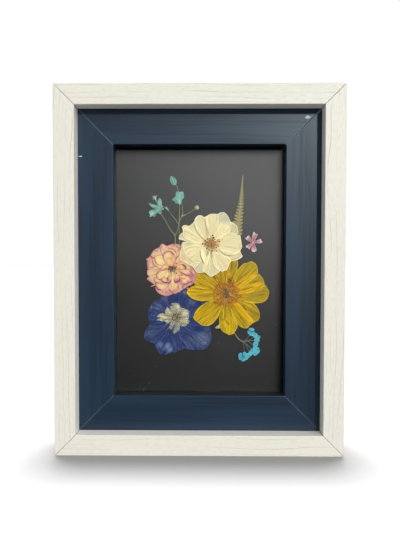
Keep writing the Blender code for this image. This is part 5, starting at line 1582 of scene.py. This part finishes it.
# The cases that stand out: place in pixels, and size in millimetres.
WHITE_CASES = [
    (212.7, 235.4, 1.0), (213.4, 237.8, 1.1), (205.4, 240.8, 1.0), (202.5, 243.6, 1.15),
    (219.4, 241.6, 1.0), (206.7, 248.3, 0.9), (208.2, 245.7, 0.8), (211.6, 245.2, 0.8), (216.4, 251.1, 0.9),
    (218.4, 246.2, 0.8), (216.5, 247.8, 0.8), (222.4, 239.8, 0.6), (219.6, 239.4, 0.6), (210.4, 238.6, 0.7),
    (209, 249.4, 0.7)]
middle = spot(*WHITE_MIDDLE, WHITE_TUFT_LAYER)
brown_tuft = tuft_finish("dried white stamens", [
    (222, 188, 122), (208, 154, 86), (176, 118, 58), (126, 80, 40), (48, 32, 22)])
parts = mat(middle, radii=(3.6, 3.0), count=64, size=(0.5, 1.5), seed=3, shades=(0.15, 0.8))
parts += mat(middle, radii=(3.4, 2.8), count=26, size=(0.4, 0.9), seed=4, lift=0.5, shades=(0.8, 1.0))
parts += tuft(middle, count=40, reach=(2.6, 5.4), case=0.7, seed=1, lift=0.4, thick=0.12)
parts += cases_at(middle, WHITE_CASES, WHITE_CASE_LAYER, seed=5)
piece("dried_white_stamens", parts, brown_tuft, "white_stamens", thickness=0)

# %% [markdown]
# The yellow flower's middle is a broad mat of florets. It is golden and rusty toward the outside,
# tan and brown in the middle, and dark at the top, with small rusty clumps around it and pale
# filaments that lie on top. It is built from overlapping ellipses of scraps.

# %% Yellow flower's middle
YELLOW_MIDDLE, YELLOW_TOP, YELLOW_HEART = (226.0, 293.8), (231, 282.4), (226.0, 292.2)
STRAY_FLORET = (187.6, 288.4)
YELLOW_LAYER, HEART_LAYER, STRAY_LAYER = 3.5, 3.8, 3.2
YELLOW_CLUMPS = [
    (214.6, 303), (219.6, 306), (232.4, 302.6), (232.6, 307), (238.6, 289), (240.6, 295.6), (222, 283),
    (236.6, 287)]
PALE_FILAMENTS = [
    [(228.6, 293.4), (231.6, 294.6), (235.6, 297.4)], [(229, 295), (233, 296), (238, 298.6)],
    [(225, 297.6), (224.8, 302), (224.4, 306)], [(226, 298), (226.4, 302.4), (226.8, 307)],
    [(223.6, 292), (221.6, 290.4), (219.6, 289.4)], [(222, 295), (219.6, 297), (217.6, 299.6)],
    [(227, 291), (228, 288.6), (229.4, 286.6)], [(230, 290), (231.6, 287.6), (230.6, 286)]]
OUTER_MAT = dict(
    radii=(9.4, 9.0), count=460, size=(0.9, 2.2), seed=13, inner=0.45, slim=0.32, shades=(0.5, 0.92))
INNER_MAT = dict(
    radii=(5.8, 5.6), count=240, size=(0.8, 1.9), seed=14, slim=0.26, lift=0.6, shades=(0.08, 0.46))
TOP_MAT = dict(
    radii=(2.3, 3.4), count=60, size=(0.8, 1.8), seed=15, slim=0.4, lift=0.5, shades=(0.88, 1.0))
HEART_MAT = dict(
    radii=(2.6, 3.2), count=96, size=(0.6, 1.3), seed=16, lift=0.7, slim=0.4, shades=(0.1, 0.42))
CLUMP = dict(radii=(1.3, 1.0), count=7, size=(0.8, 1.7), slim=0.4, shades=(0.7, 0.95))
middle = spot(*YELLOW_MIDDLE, YELLOW_LAYER)
parts = mat(middle, **OUTER_MAT) + mat(middle, **INNER_MAT)
parts += mat(spot(*YELLOW_TOP, YELLOW_LAYER), **TOP_MAT) + mat(spot(*YELLOW_HEART, HEART_LAYER), **HEART_MAT)
for u, v in YELLOW_CLUMPS:
    parts += mat(spot(u, v, YELLOW_LAYER), seed=int(u), **CLUMP)
for number, pixels in enumerate(PALE_FILAMENTS):
    path = smooth_line([spot(u, v, YELLOW_LAYER, rise=0.5) for u, v in pixels], per_span=4)
    parts.append(tube(path, (0.3, 0.2), sides=5, tone=0.02 * number))
place = spot(*STRAY_FLORET, STRAY_LAYER)
parts.append(lump(place, (1.5, 0.7, 1.2), turn=0.3, tone=0.55, seed=4, rough=0.15, detail=2))
floret_finish = tuft_finish("dried yellow florets", [
    (206, 168, 112), (164, 116, 62), (122, 80, 40), (220, 158, 12), (178, 98, 12),
    (84, 48, 22)])
piece("dried_yellow_florets", parts, floret_finish, "yellow_stamens", thickness=0)

# %% [markdown]
# The rose and the larkspur share one darker finish. Their tufts are small, so a few dozen scraps
# and filaments fill each of them.

# %% Rose's and larkspur's stamens
ROSE_MIDDLE = (172.0, 268.6)
ROSE_TUFT_LAYER, BLUE_TUFT_LAYER = 4.4, 3.4
ROSE_CASES = [(176.2, 263.4, 0.9), (176.2, 273.2, 1.0), (168.6, 272.0, 0.7), (176.8, 267, 0.7)]
middle = spot(*ROSE_MIDDLE, ROSE_TUFT_LAYER)
parts = mat(middle, radii=(3.0, 1.9), count=60, size=(0.5, 1.2), seed=22, shades=(0.4, 0.95))
parts += tuft(middle, count=22, reach=(1.4, 3.6), case=0.5, seed=21)
parts += cases_at(middle, ROSE_CASES, ROSE_TUFT_LAYER, seed=6)
dark_tuft = tuft_finish("dried dark stamens", [
    (196, 172, 118), (150, 122, 78), (112, 86, 52), (78, 58, 34), (42, 30, 18)])
piece("dried_rose_stamens", parts, dark_tuft, "rose_stamens", thickness=0)
BLUE_CASES = [
    (175.5, 314.4, 1.0), (178.8, 314.2, 1.0), (172.7, 317.4, 0.9), (179.4, 317.6, 1.0), (176.6, 321.4, 1.0),
    (173.4, 320.2, 0.8), (177.4, 316.6, 0.9)]
middle = spot(*BLUE_MIDDLE, BLUE_TUFT_LAYER)
parts = mat(middle, radii=(2.4, 2.5), count=46, size=(0.5, 1.2), seed=32, shades=(0.5, 1.0))
parts += tuft(middle, count=24, reach=(1.6, 3.4), case=0.6, seed=31)
parts += cases_at(middle, BLUE_CASES, BLUE_TUFT_LAYER, seed=7)
piece("dried_blue_stamens", parts, dark_tuft, "blue_stamens", thickness=0)

# %% [markdown]
# ## Gypsophila sprig
# A thin branching stem with a round bud, a calyx, and small flowers dyed teal. Stems are tapering
# tubes along smooth lines. The flowers are tiny fans, made just as the large petals are.

# %% Stems
STEM_LAYER = 0.69
# Each stem: its places, and its radius in millimetres at the start and the end.
SPRIG_LINES = {
    "left": ([(175.4, 246), (175.1, 241), (174.9, 235.8), (170.2, 229.6), (165, 220), (160.5, 213.5),
        (158.6, 210)], (0.33, 0.26)),
    "main": ([(175, 236.6), (177.5, 230.4), (178.6, 224.6), (179.4, 221), (180.6, 218.7), (182.3, 216.2)],
        (0.3, 0.3)),
    "right": ([(182, 216.5), (185, 214.9), (190, 212.4), (195, 209.3)], (0.3, 0.22)),
    "upright": ([(179.4, 246), (179.2, 236), (179.2, 224), (179.4, 212), (179.6, 203.5)], (0.24, 0.24)),
    "second": ([(182.4, 216), (182.6, 210.5), (182.2, 206), (181.2, 202.5)], (0.24, 0.22)),
    "side": ([(178.6, 223.8), (174, 218), (170, 213), (166.8, 209), (163.4, 206.3), (161, 205.3)],
        (0.27, 0.22)),
    "stub": ([(177.9, 222.8), (176.8, 222.2), (176, 221.5)], (0.2, 0.1)),
    "bract": ([(174.8, 236.4), (174.9, 234.6), (174.6, 232.6)], (0.3, 0.1)),
    "point": ([(182.6, 215.4), (182.9, 214), (182.8, 212.8)], (0.3, 0.1)),
    "top": ([(178.7, 192), (177.6, 188), (176.6, 186.2), (175.6, 184.6)], (0.22, 0.28)),
}
parts = []
for pixels, radii in SPRIG_LINES.values():
    line = smooth_line([spot(u, v, STEM_LAYER) for u, v in pixels], per_span=6)
    parts.append(tube(line, radii, sides=8, tone=0.0))
# Swellings where stems part: place, size in millimetres, shade.
STEM_NODES = [
    (174.9, 235.6, 0.9, 0.1), (178.7, 223.8, 0.85, 0.1), (182.4, 215.9, 1.1, 0.42),
    (184.6, 215.2, 0.8, 0.2)]
for number, (u, v, size, tone) in enumerate(STEM_NODES):
    place, sides = spot(u, v, STEM_LAYER), (size, size * 0.7, size)
    parts.append(lump(place, sides, turn=0.0, tone=tone, seed=number, rough=0.1))
ROUND_BUD, ROUND_BUD_SIZE = (196.9, 207.8), (3.2, 1.3, 3.2)
ROUND_BUD_TIP, ROUND_BUD_TIP_SIZE = (196.6, 208.6), (1.3, 0.8, 1.2)
place = spot(*ROUND_BUD, STEM_LAYER, rise=0.25)
parts.append(lump(place, ROUND_BUD_SIZE, tone=0.79, seed=9, rough=0.05, detail=3))
place = spot(*ROUND_BUD_TIP, STEM_LAYER, rise=0.7)
parts.append(lump(place, ROUND_BUD_TIP_SIZE, tone=1.0, seed=4, rough=0.2, detail=2))
# Empty calyxes and their teeth: places, and the radius at each in millimetres.
CALYX_LINES = [
    [(165.2, 207.4, 0.3), (166.7, 208.6, 0.65), (168.6, 210.6, 0.3)], [(166.9, 208.8, 0.35),
    (166.6, 207.4, 0.25), (166.3, 206.2, 0.1)], [(156.9, 202.6, 0.2), (155.9, 200.2, 0.35),
    (155.2, 198.4, 0.75), (154.8, 197, 0.7)], [(155, 198.2, 0.5), (153.6, 197.2, 0.4), (152.3, 196, 0.1)],
    [(155, 197.6, 0.5), (154.6, 196.4, 0.35), (154.2, 195.4, 0.1)], [(155.4, 197.6, 0.5),
    (156, 196.6, 0.35), (156.6, 195.2, 0.1)], [(154.6, 199, 0.4), (153.6, 199, 0.3), (152.6, 198.4, 0.1)]]
for places in CALYX_LINES:
    line = smooth_line([spot(u, v, STEM_LAYER, rise=0.15) for u, v, _ in places], per_span=5)
    parts.append(tube(line, [radius for *_, radius in places], sides=8, tone=0.4))


def stem_finish():
    """Olive stems, pale green calyx and bud, and a brown tip."""
    stem = Finish("dried sprig", roughness=0.7)
    tone = stem.stored("tone")
    grain = stem.noise(stem.object_place(), scale=1400.0, detail=4.0, rough=0.7)
    body = stem.blend(grain, (134, 142, 86), (100, 110, 66))
    body = stem.blend(stem.span(tone, 0.15, 0.5), body, (164, 194, 166))
    body = stem.blend(stem.span(tone, 0.6, 1.0), body, (170, 112, 56))
    stem.colour(body)
    stem.relief(grain, strength=0.5, distance=0.0001)
    return stem.material


sprig = stem_finish()
piece("dried_gypsophila_sprig", parts, sprig, "gypsophila_sprig", thickness=0)

# %% [markdown]
# Two small flowers and a bud were dyed teal. Their petals are traced in the order in which they
# overlap, from the back to the front, and each is puffed up a little. A few pale patches lighten
# the places that the photograph shows lighter.

# %% Teal flowers
TEAL_LAYER, BUD_LAYER, TEAL_STEP, TEAL_SEED = 3.4, 0.9, 0.12, 200
TEAL_LOOKS = dict(relief=0.08, curl=0.12, wave=0.04, bulge=0.3)
TEAL_FLOWERS = {
    "upper": [[(179.5, 197), (176, 195.8), (175.8, 193.6), (176.3, 191.8), (178, 191.6), (179.6, 192.4),
        (180.4, 196)],
        [(179.6, 197), (179.2, 193.4), (180.2, 192), (181.6, 191.9), (183.2, 191.9), (183.6, 194),
        (181, 197)],
        [(180, 196), (183, 193.6), (184.1, 195.6), (183.8, 197.6), (182.4, 199.4), (180.6, 199.4)],
        [(180.4, 196.2), (182.4, 198.4), (181.6, 201), (180.9, 203.2), (179.4, 204.9), (178.2, 203.2),
        (178.4, 198)],
        [(180, 197), (179.2, 202.8), (177.6, 203), (176.2, 204), (175, 202.4), (174.6, 200.8),
        (176.6, 197)],
        [(180, 195.4), (178.2, 200.4), (175.4, 200.9), (172, 200.1), (173.6, 198.2), (175.2, 196.6),
        (176.8, 194.4)]],
    "left": [[(158.4, 209), (154.6, 209.4), (150.4, 210.5), (148.9, 212.4), (150.1, 214.4), (149.6, 216.6),
        (151, 216.9), (152.5, 215.9), (154.1, 217), (155.6, 215.6), (157.4, 213), (159, 210.6)],
        [(159, 208), (161, 210.8), (161.9, 213), (160.4, 214.4), (158.8, 213.3), (156.8, 211.4),
        (157, 208.6)],
        [(158, 206.4), (161.4, 205.4), (163, 207), (163.9, 209.3), (162, 210.2), (159.8, 210.4)],
        [(159.4, 209.4), (156.8, 206), (157.2, 202.6), (158.3, 199.6), (159.6, 198.3), (161.2, 199.9),
        (162, 203), (161.4, 206.6)],
        [(159.4, 207), (154.8, 204.9), (151.5, 203.9), (148.8, 203.1), (150.3, 205.6), (152.3, 207.9),
        (154.8, 208.8), (158.6, 210)]],
    "bud": [[(175.4, 185), (173, 185), (171.3, 183.4), (170, 181), (169.7, 178.6), (170.4, 176.9),
        (171.6, 176.2), (173.4, 179.6), (175.2, 184)],
        [(175.7, 185.1), (176.7, 182.6), (176.3, 180.3), (174.9, 178), (173.2, 176.8), (171.6, 176.2),
        (172.2, 179.6), (174.4, 184)]],
}
TEAL_NODES = {
    "upper": "gypsophila_upper_blossom",
    "left": "gypsophila_left_blossom",
    "bud": "gypsophila_bud",
}
teal_finish = petal_finish(
    "dried teal petal", thin=(106, 164, 152), full=(116, 174, 163), foot=(120, 144, 116),
    rim=(164, 210, 200), dark=(54, 102, 94), light=(176, 216, 206), foot_reach=(0.1, 0.45),
    rim_width=0.35, rim_share=0.5, dark_share=0.65, light_share=0.6, vein_gap=0.7, blotch=0.4,
    blotch_size=1.5, blotch_colour=(134, 160, 140), pale=(176, 216, 202))
TEAL_PALE = {
    "pale": [(151.4, 214, 3.2, 3.2, 0, 0.9), (159.6, 203, 1.6, 3.2, 10, 0.5),
        (179.4, 201.4, 2.4, 3, 0, 0.6), (153, 206, 3, 1.4, 30, 0.4)],
}


def small_flower(outlines, layer, step, seed, patches, **looks):
    """Sheets of a small flower whose petals overlap in turn."""
    petals = []
    for k, pixels in enumerate(outlines):
        petals.append(Petal(layer + step * k, traced(pixels, layer), seed + k))
    return [fan(petal, petals[:k], patches, **looks) for k, petal in enumerate(petals)]


for number, (key, outlines) in enumerate(TEAL_FLOWERS.items()):
    layer = BUD_LAYER if key == "bud" else TEAL_LAYER
    seed = TEAL_SEED + 10 * number
    parts = small_flower(outlines, layer, TEAL_STEP, seed, TEAL_PALE, **TEAL_LOOKS)
    piece("dried_teal_" + key, parts, teal_finish, TEAL_NODES[key])
    print(len(parts), "petals in the", key, "flower")

# %% [markdown]
# ## Fern tip
# The tip of a fern frond: a fine midrib with round-ended leaflets on both sides, which grow longer
# toward the foot. A rule places them, and each leaflet is a small fan.

# %% Fern
FERN_LAYER, FERN_PAIRS, FERN_SAMPLES, FERN_LEAN = 2.0, 21, 400, 0.3
FERN_RIB = [(242.9, 174.9), (242, 186), (241, 199), (239.6, 214), (238.4, 226), (237.6, 236)]
# Leaflet lengths in pixels, by the share of the way down the rib.
FERN_LEFT = [(0.0, 0.5), (0.25, 1.5), (0.42, 2.1), (0.55, 3.3), (0.75, 5.6), (0.85, 6.2), (1.0, 6.4)]
FERN_RIGHT = [(0.0, 0.5), (0.2, 1.3), (0.35, 2.6), (0.55, 3.4), (0.75, 4.0), (0.9, 4.6), (1.0, 4.6)]
rib = np.array([at_pixel(u, v, FERN_LAYER) for u, v in FERN_RIB])
rib_line = smooth_line(rib, per_span=12)
spots = spaced(rib_line, FERN_SAMPLES)[0]
parts = []
for k in range(FERN_PAIRS):
    share = (k + 0.6) / FERN_PAIRS
    share = share * (0.72 + 0.28 * share)
    here = int(share * (FERN_SAMPLES - 1))
    at = spots[here]
    down = spots[min(FERN_SAMPLES - 1, here + 6)] - spots[max(0, here - 6)]
    down /= np.linalg.norm(down)
    width = 0.95 + 0.95 * share
    for side, table in ((-1, FERN_LEFT), (1, FERN_RIGHT)):
        length = np.interp(share, *zip(*table)) * PIXEL_MM * (1 + 0.08 * sin(k * 2.3 + side))
        out = np.array((-down[1], down[0])) * side
        if out[0] * side < 0:
            out = -out
        out = out - down * FERN_LEAN
        out /= np.linalg.norm(out)
        half = down * width / 2
        tip = out * length
        outline = [
            at + half * 1.7, at + half * 1.25 + tip * 0.45, at + half * 0.85 + tip * 0.85, at + tip,
            at - half * 0.7 + tip * 0.92, at - half * 1.1 + tip * 0.5, at - half * 1.5]
        leaflet = Petal(FERN_LAYER + 0.04 * (k % 2), outline, 300 + 2 * k + side)
        parts.append(fan(leaflet, [], relief=0.03, pleat=0.02, curl=0.06, wave=0.03))
rib_depth = np.full(len(rib_line), layer_plane(FERN_LAYER) - 0.05)
path = np.column_stack([rib_line[:, 0], rib_depth, rib_line[:, 1]])
points, faces, _ = tube(path, (0.16, 0.42), sides=6)
parts.append((points, faces, plain_values(len(points))))
fern_finish = petal_finish(
    "dried fern", thin=(154, 145, 102), full=(168, 158, 110), foot=(134, 126, 86), rim=(190, 182, 134),
    dark=(118, 110, 74), light=(196, 188, 136), alpha=(0.88, 0.94), foot_reach=(0.0, 0.4),
    rim_width=0.25, rim_share=0.4, vein_gap=0.5, blotch_size=1.5)
piece("dried_fern_tip", parts, fern_finish, "fern_tip")

# %% [markdown]
# ## Pink star flower
# The star flower has five notched petals grown from one tube, so they are one piece. It is made as
# the teal flowers are. Its tips are bleached, which a pale patch at each of them shows.

# %% Pink star flower
STAR_LAYER, STAR_STEP, STAR_SEED = 1.0, 0.08, 400
STAR_TIPS = [(254.2, 232.2), (246.2, 237.4), (261.6, 240.4), (246.8, 247.8), (253.8, 251.4)]
STAR_PETALS = [
    [(252.1, 243), (252.1, 237), (253, 233.4), (253.9, 231.9), (254.8, 232.5), (255.3, 234), (256.5, 233.8),
    (257.6, 234.4), (256.6, 237), (255.3, 239.4), (253.6, 243)],
    [(253, 243.2), (248.6, 241), (246.2, 239.6), (245.5, 238.3), (246.8, 237), (248.2, 235.4),
    (249.1, 235.8), (250.2, 237.6), (251.6, 239.8), (253.2, 242)],
    [(252.6, 241.4), (257, 240.3), (259.6, 239.1), (260.9, 238.8), (261.2, 240.2), (262.4, 241.7),
    (261.6, 242.9), (259.4, 243.2), (256.4, 242.9), (252.6, 243.4)],
    [(253.2, 242), (249, 244.2), (246.9, 245.4), (245.7, 246.7), (246.6, 247.5), (248.1, 248),
    (249.4, 249.4), (250.3, 248), (251.2, 245.7), (253.6, 242.8)],
    [(252, 242.4), (252, 246.5), (251.5, 249.5), (252.1, 251.2), (253.6, 252), (255.2, 251.5),
    (256.5, 250.3), (256, 248), (255, 245.3), (253.8, 242)]]
star_finish = petal_finish(
    "dried pink petal", thin=(192, 138, 145), full=(182, 124, 135), foot=(140, 74, 88),
    rim=(236, 212, 212), dark=(140, 84, 96), light=(212, 178, 180), foot_reach=(0.1, 0.7),
    rim_width=0.45, rim_share=0.6, vein_gap=0.7, blotch=0.3, blotch_size=1.5, pale=(238, 216, 216))
tips = {"pale": [(u, v, 2.8, 2.8, 0, 0.9) for u, v in STAR_TIPS]}
parts = small_flower(
    STAR_PETALS, STAR_LAYER, STAR_STEP, STAR_SEED, tips, relief=0.05, curl=0.1, wave=0.03)
piece("dried_pink_star", parts, star_finish, "pink_star_flower")

# %% [markdown]
# ## Blue umbel
# The umbel is a stalk that parts into rays, with small blue flowers at and between their ends. The
# flowers are too small to trace, so a rule makes five round petals around each place. The rays and
# the stalk store a negative reach, which tells the finish to give them their own colours.

# %% Blue umbel
UMBEL_LAYER, UMBEL_STAGGER, UMBEL_PETALS, UMBEL_SEED = 0.8, 0.35, 5, 51
STALK_RADII, RAY_RADII, STALK_REACH, RAY_REACH = (0.24, 0.3), (0.24, 0.16), -1.0, -2.0
UMBEL_STALK = [
    (232.4, 329.6), (234.6, 333.3), (236.6, 336.6), (238.9, 339.2), (241, 340.8), (243.4, 341.6)]
UMBEL_RAYS = [
    [(243, 341.4), (245.4, 340.4), (247.4, 338), (249.4, 335)], [(243, 341.5), (247, 340.6), (250.6, 339.4),
    (253.4, 337)], [(243, 341.6), (248.4, 341), (252.4, 340.6), (255, 340.6)], [(243, 341.7), (248, 341.4),
    (251, 343.6), (254, 346)], [(243, 341.8), (246, 343.8), (249, 346.6), (252.4, 349.4)], [(243, 341.8),
    (245.4, 344), (247, 347.4), (249.4, 352)], [(243, 341.8), (243.6, 344), (244, 348), (244.4, 353)]]
# Flowers: place and reach in pixels.
UMBEL_FLOWERS = [
    (251.3, 331.7, 4.2), (257.2, 337.4, 3.0), (256.7, 341, 2.9), (255.6, 344.6, 2.7), (256.7, 350.4, 3.4),
    (255.2, 353, 2.9), (252.6, 351.4, 3.0), (248.2, 355.4, 2.5), (243, 356.8, 5.0), (254.9, 347.8, 2.3),
    (254.9, 335.2, 2.4), (257.5, 339.6, 2.3), (250.4, 353.4, 2.2)]
UMBEL_LOOKS = dict(relief=0.05, pleat=0.03, curl=0.12, wave=0.03)
# A round petal's outline: the turn within its half of the room, and the share of its length.
ROUND_PETAL = [
    (-0.35, 0.12), (-0.75, 0.5), (-0.85, 0.78), (-0.4, 0.98), (0.0, 0.95), (0.4, 1.0), (0.85, 0.78),
    (0.75, 0.5), (0.35, 0.12)]


def tiny_flower(u, v, reach, layer, petals, seed):
    """Rounded petals around a middle: reach in pixels."""
    chance = np.random.default_rng(seed)
    middle = at_pixel(u, v, layer)
    made = []
    for k in range(petals):
        angle = tau * (k + 0.2 * chance.uniform(-1, 1)) / petals + seed
        long = reach * PIXEL_MM * chance.uniform(0.9, 1.06)
        half = 0.55 * tau / petals
        outline = []
        for turn, share in ROUND_PETAL:
            toward = angle + half * turn
            outline.append(middle + long * share * np.array((cos(toward), sin(toward))))
        made.append(Petal(layer + 0.07 * k, outline, seed * 10 + k))
    return [fan(petal, made[:k], **UMBEL_LOOKS) for k, petal in enumerate(made)]


parts = []
for number, (u, v, reach) in enumerate(UMBEL_FLOWERS):
    layer = UMBEL_LAYER + UMBEL_STAGGER * (number % 3)
    parts += tiny_flower(u, v, reach, layer, UMBEL_PETALS, UMBEL_SEED + number)
print(len(UMBEL_FLOWERS), "flowers and", len(UMBEL_RAYS), "rays in the umbel")


def umbel_stem(pixels, radii, reach):
    """The stalk or a ray of the umbel, just behind its flowers."""
    line = smooth_line([spot(u, v, UMBEL_LAYER - 0.1) for u, v in pixels], per_span=6)
    points, faces, _ = tube(line, radii, sides=6)
    return points, faces, plain_values(len(points), reach)


parts.append(umbel_stem(UMBEL_STALK, STALK_RADII, STALK_REACH))
parts += [umbel_stem(pixels, RAY_RADII, RAY_REACH) for pixels in UMBEL_RAYS]


def umbel_finish():
    """Cyan petals with darker middles, grey-green rays and a brown stalk."""
    sheet = Finish("dried umbel", roughness=0.65)
    place = sheet.stored("vein", "Vector")
    reach = sheet.stored("reach")
    edge = sheet.stored("rim")
    fine = sheet.noise(sheet.stretch(place, (3.0, 0.8, 1.0)), scale=1.0, detail=4.0, rough=0.65)
    coarse = sheet.noise(sheet.object_place(), scale=900.0, detail=3.0, rough=0.6)
    body = sheet.blend(sheet.span(reach, 0.1, 0.75, 1.0, 0.0), (62, 174, 196), (24, 84, 108))
    body = sheet.blend(sheet.times(sheet.span(coarse, 0.42, 0.66), 0.75), body, (40, 122, 148))
    body = sheet.blend(sheet.times(fine, 0.35), body, (58, 152, 172))
    body = sheet.blend(sheet.span(edge, 0.0, 0.4, 0.5, 0.0), body, (124, 212, 226))
    ray = sheet.blend(coarse, (112, 128, 124), (78, 92, 90))
    stalk = sheet.blend(coarse, (182, 148, 120), (138, 104, 78))
    body = sheet.blend(sheet.span(reach, -0.6, -0.4, 1.0, 0.0), body, stalk)
    body = sheet.blend(sheet.span(reach, -1.6, -1.4, 1.0, 0.0), body, ray)
    sheet.colour(body)
    sheet.relief(fine, strength=0.5, distance=0.0001)
    return sheet.material


piece("dried_blue_umbel", parts, umbel_finish(), "blue_umbel")

# %% [markdown]
# ## Loose sliver
# A torn bit of a cream petal lies below the yellow flower. It bulges a little, as a scrap does that
# nothing else presses on.

# %% Loose sliver
SLIVER_LAYER, SLIVER_SEED = 1.0, 500
SLIVER = [
    (215.3, 327.6), (216.6, 326.4), (218.6, 324.8), (220.6, 323.6), (221.4, 325.8), (220, 328.1),
    (216.6, 328.5)]
sliver = Petal(SLIVER_LAYER, traced(SLIVER, SLIVER_LAYER), SLIVER_SEED)
cream_finish = petal_finish(
    "dried cream sliver", thin=(190, 184, 146), full=(200, 192, 154), foot=(194, 184, 150),
    rim=(224, 218, 192), dark=(164, 154, 124), light=(226, 220, 194), alpha=(0.85, 0.9))
piece("dried_cream_sliver", [fan(sliver, [], bulge=0.2)], cream_finish, "petal_sliver")

# %% [markdown]
# ## Dust
# Lint and dust lie on the card behind the glass. They are tiny flat lumps a fraction of a
# millimetre across, at the places where the photograph shows the brightest ones, with a few more
# strewn over the card.

# %% Dust on the card
# Places in millimetres, X and Z, and the size of each speck.
DUST = [
    (-1.1, 187.9, 0.4), (54.7, 183.1, 0.5), (-47.3, 48.8, 0.4), (-36.8, 43.4, 0.5), (-32.2, 55.9, 0.4),
    (13.8, 72.6, 0.4), (36.2, 44.5, 0.4), (48.5, 44.6, 0.4), (54.2, 36.5, 0.4), (55.7, 86.2, 0.5)]
LINT = [((-40.9, 38.0), (-40.4, 38.9), (-40.2, 39.8)), ((-35.1, 113.6), (-34.0, 114.3), (-32.8, 114.6))]
STREWN, STREWN_SIZE, DUST_SEED = 60, (0.12, 0.26), 77
CARD_WIDE, CARD_HIGH = (-56, 56), (34, 200)
dust_finish = tuft_finish("card dust", [(214, 214, 206), (168, 164, 154), (120, 104, 84)])
chance = np.random.default_rng(DUST_SEED)
specks = list(DUST)
for _ in range(STREWN):
    specks.append((chance.uniform(*CARD_WIDE), chance.uniform(*CARD_HIGH), chance.uniform(*STREWN_SIZE)))
parts = []
for number, (x, z, size) in enumerate(specks):
    flat = (size, 0.1, size * chance.uniform(0.5, 1.0))
    turn, shade = chance.uniform(0, pi), chance.uniform(0, 0.6)
    place = (x, card_front - 0.06, z)
    parts.append(lump(place, flat, turn=turn, tone=shade, seed=number, rough=0.2, detail=1))
for places in LINT:
    path = smooth_line([(x, card_front - 0.1, z) for x, z in places], per_span=5)
    parts.append(tube(path, (0.08, 0.06), sides=5, tone=0.6))
piece("card_dust", parts, dust_finish, "", thickness=0)
print(len(specks), "specks of dust")
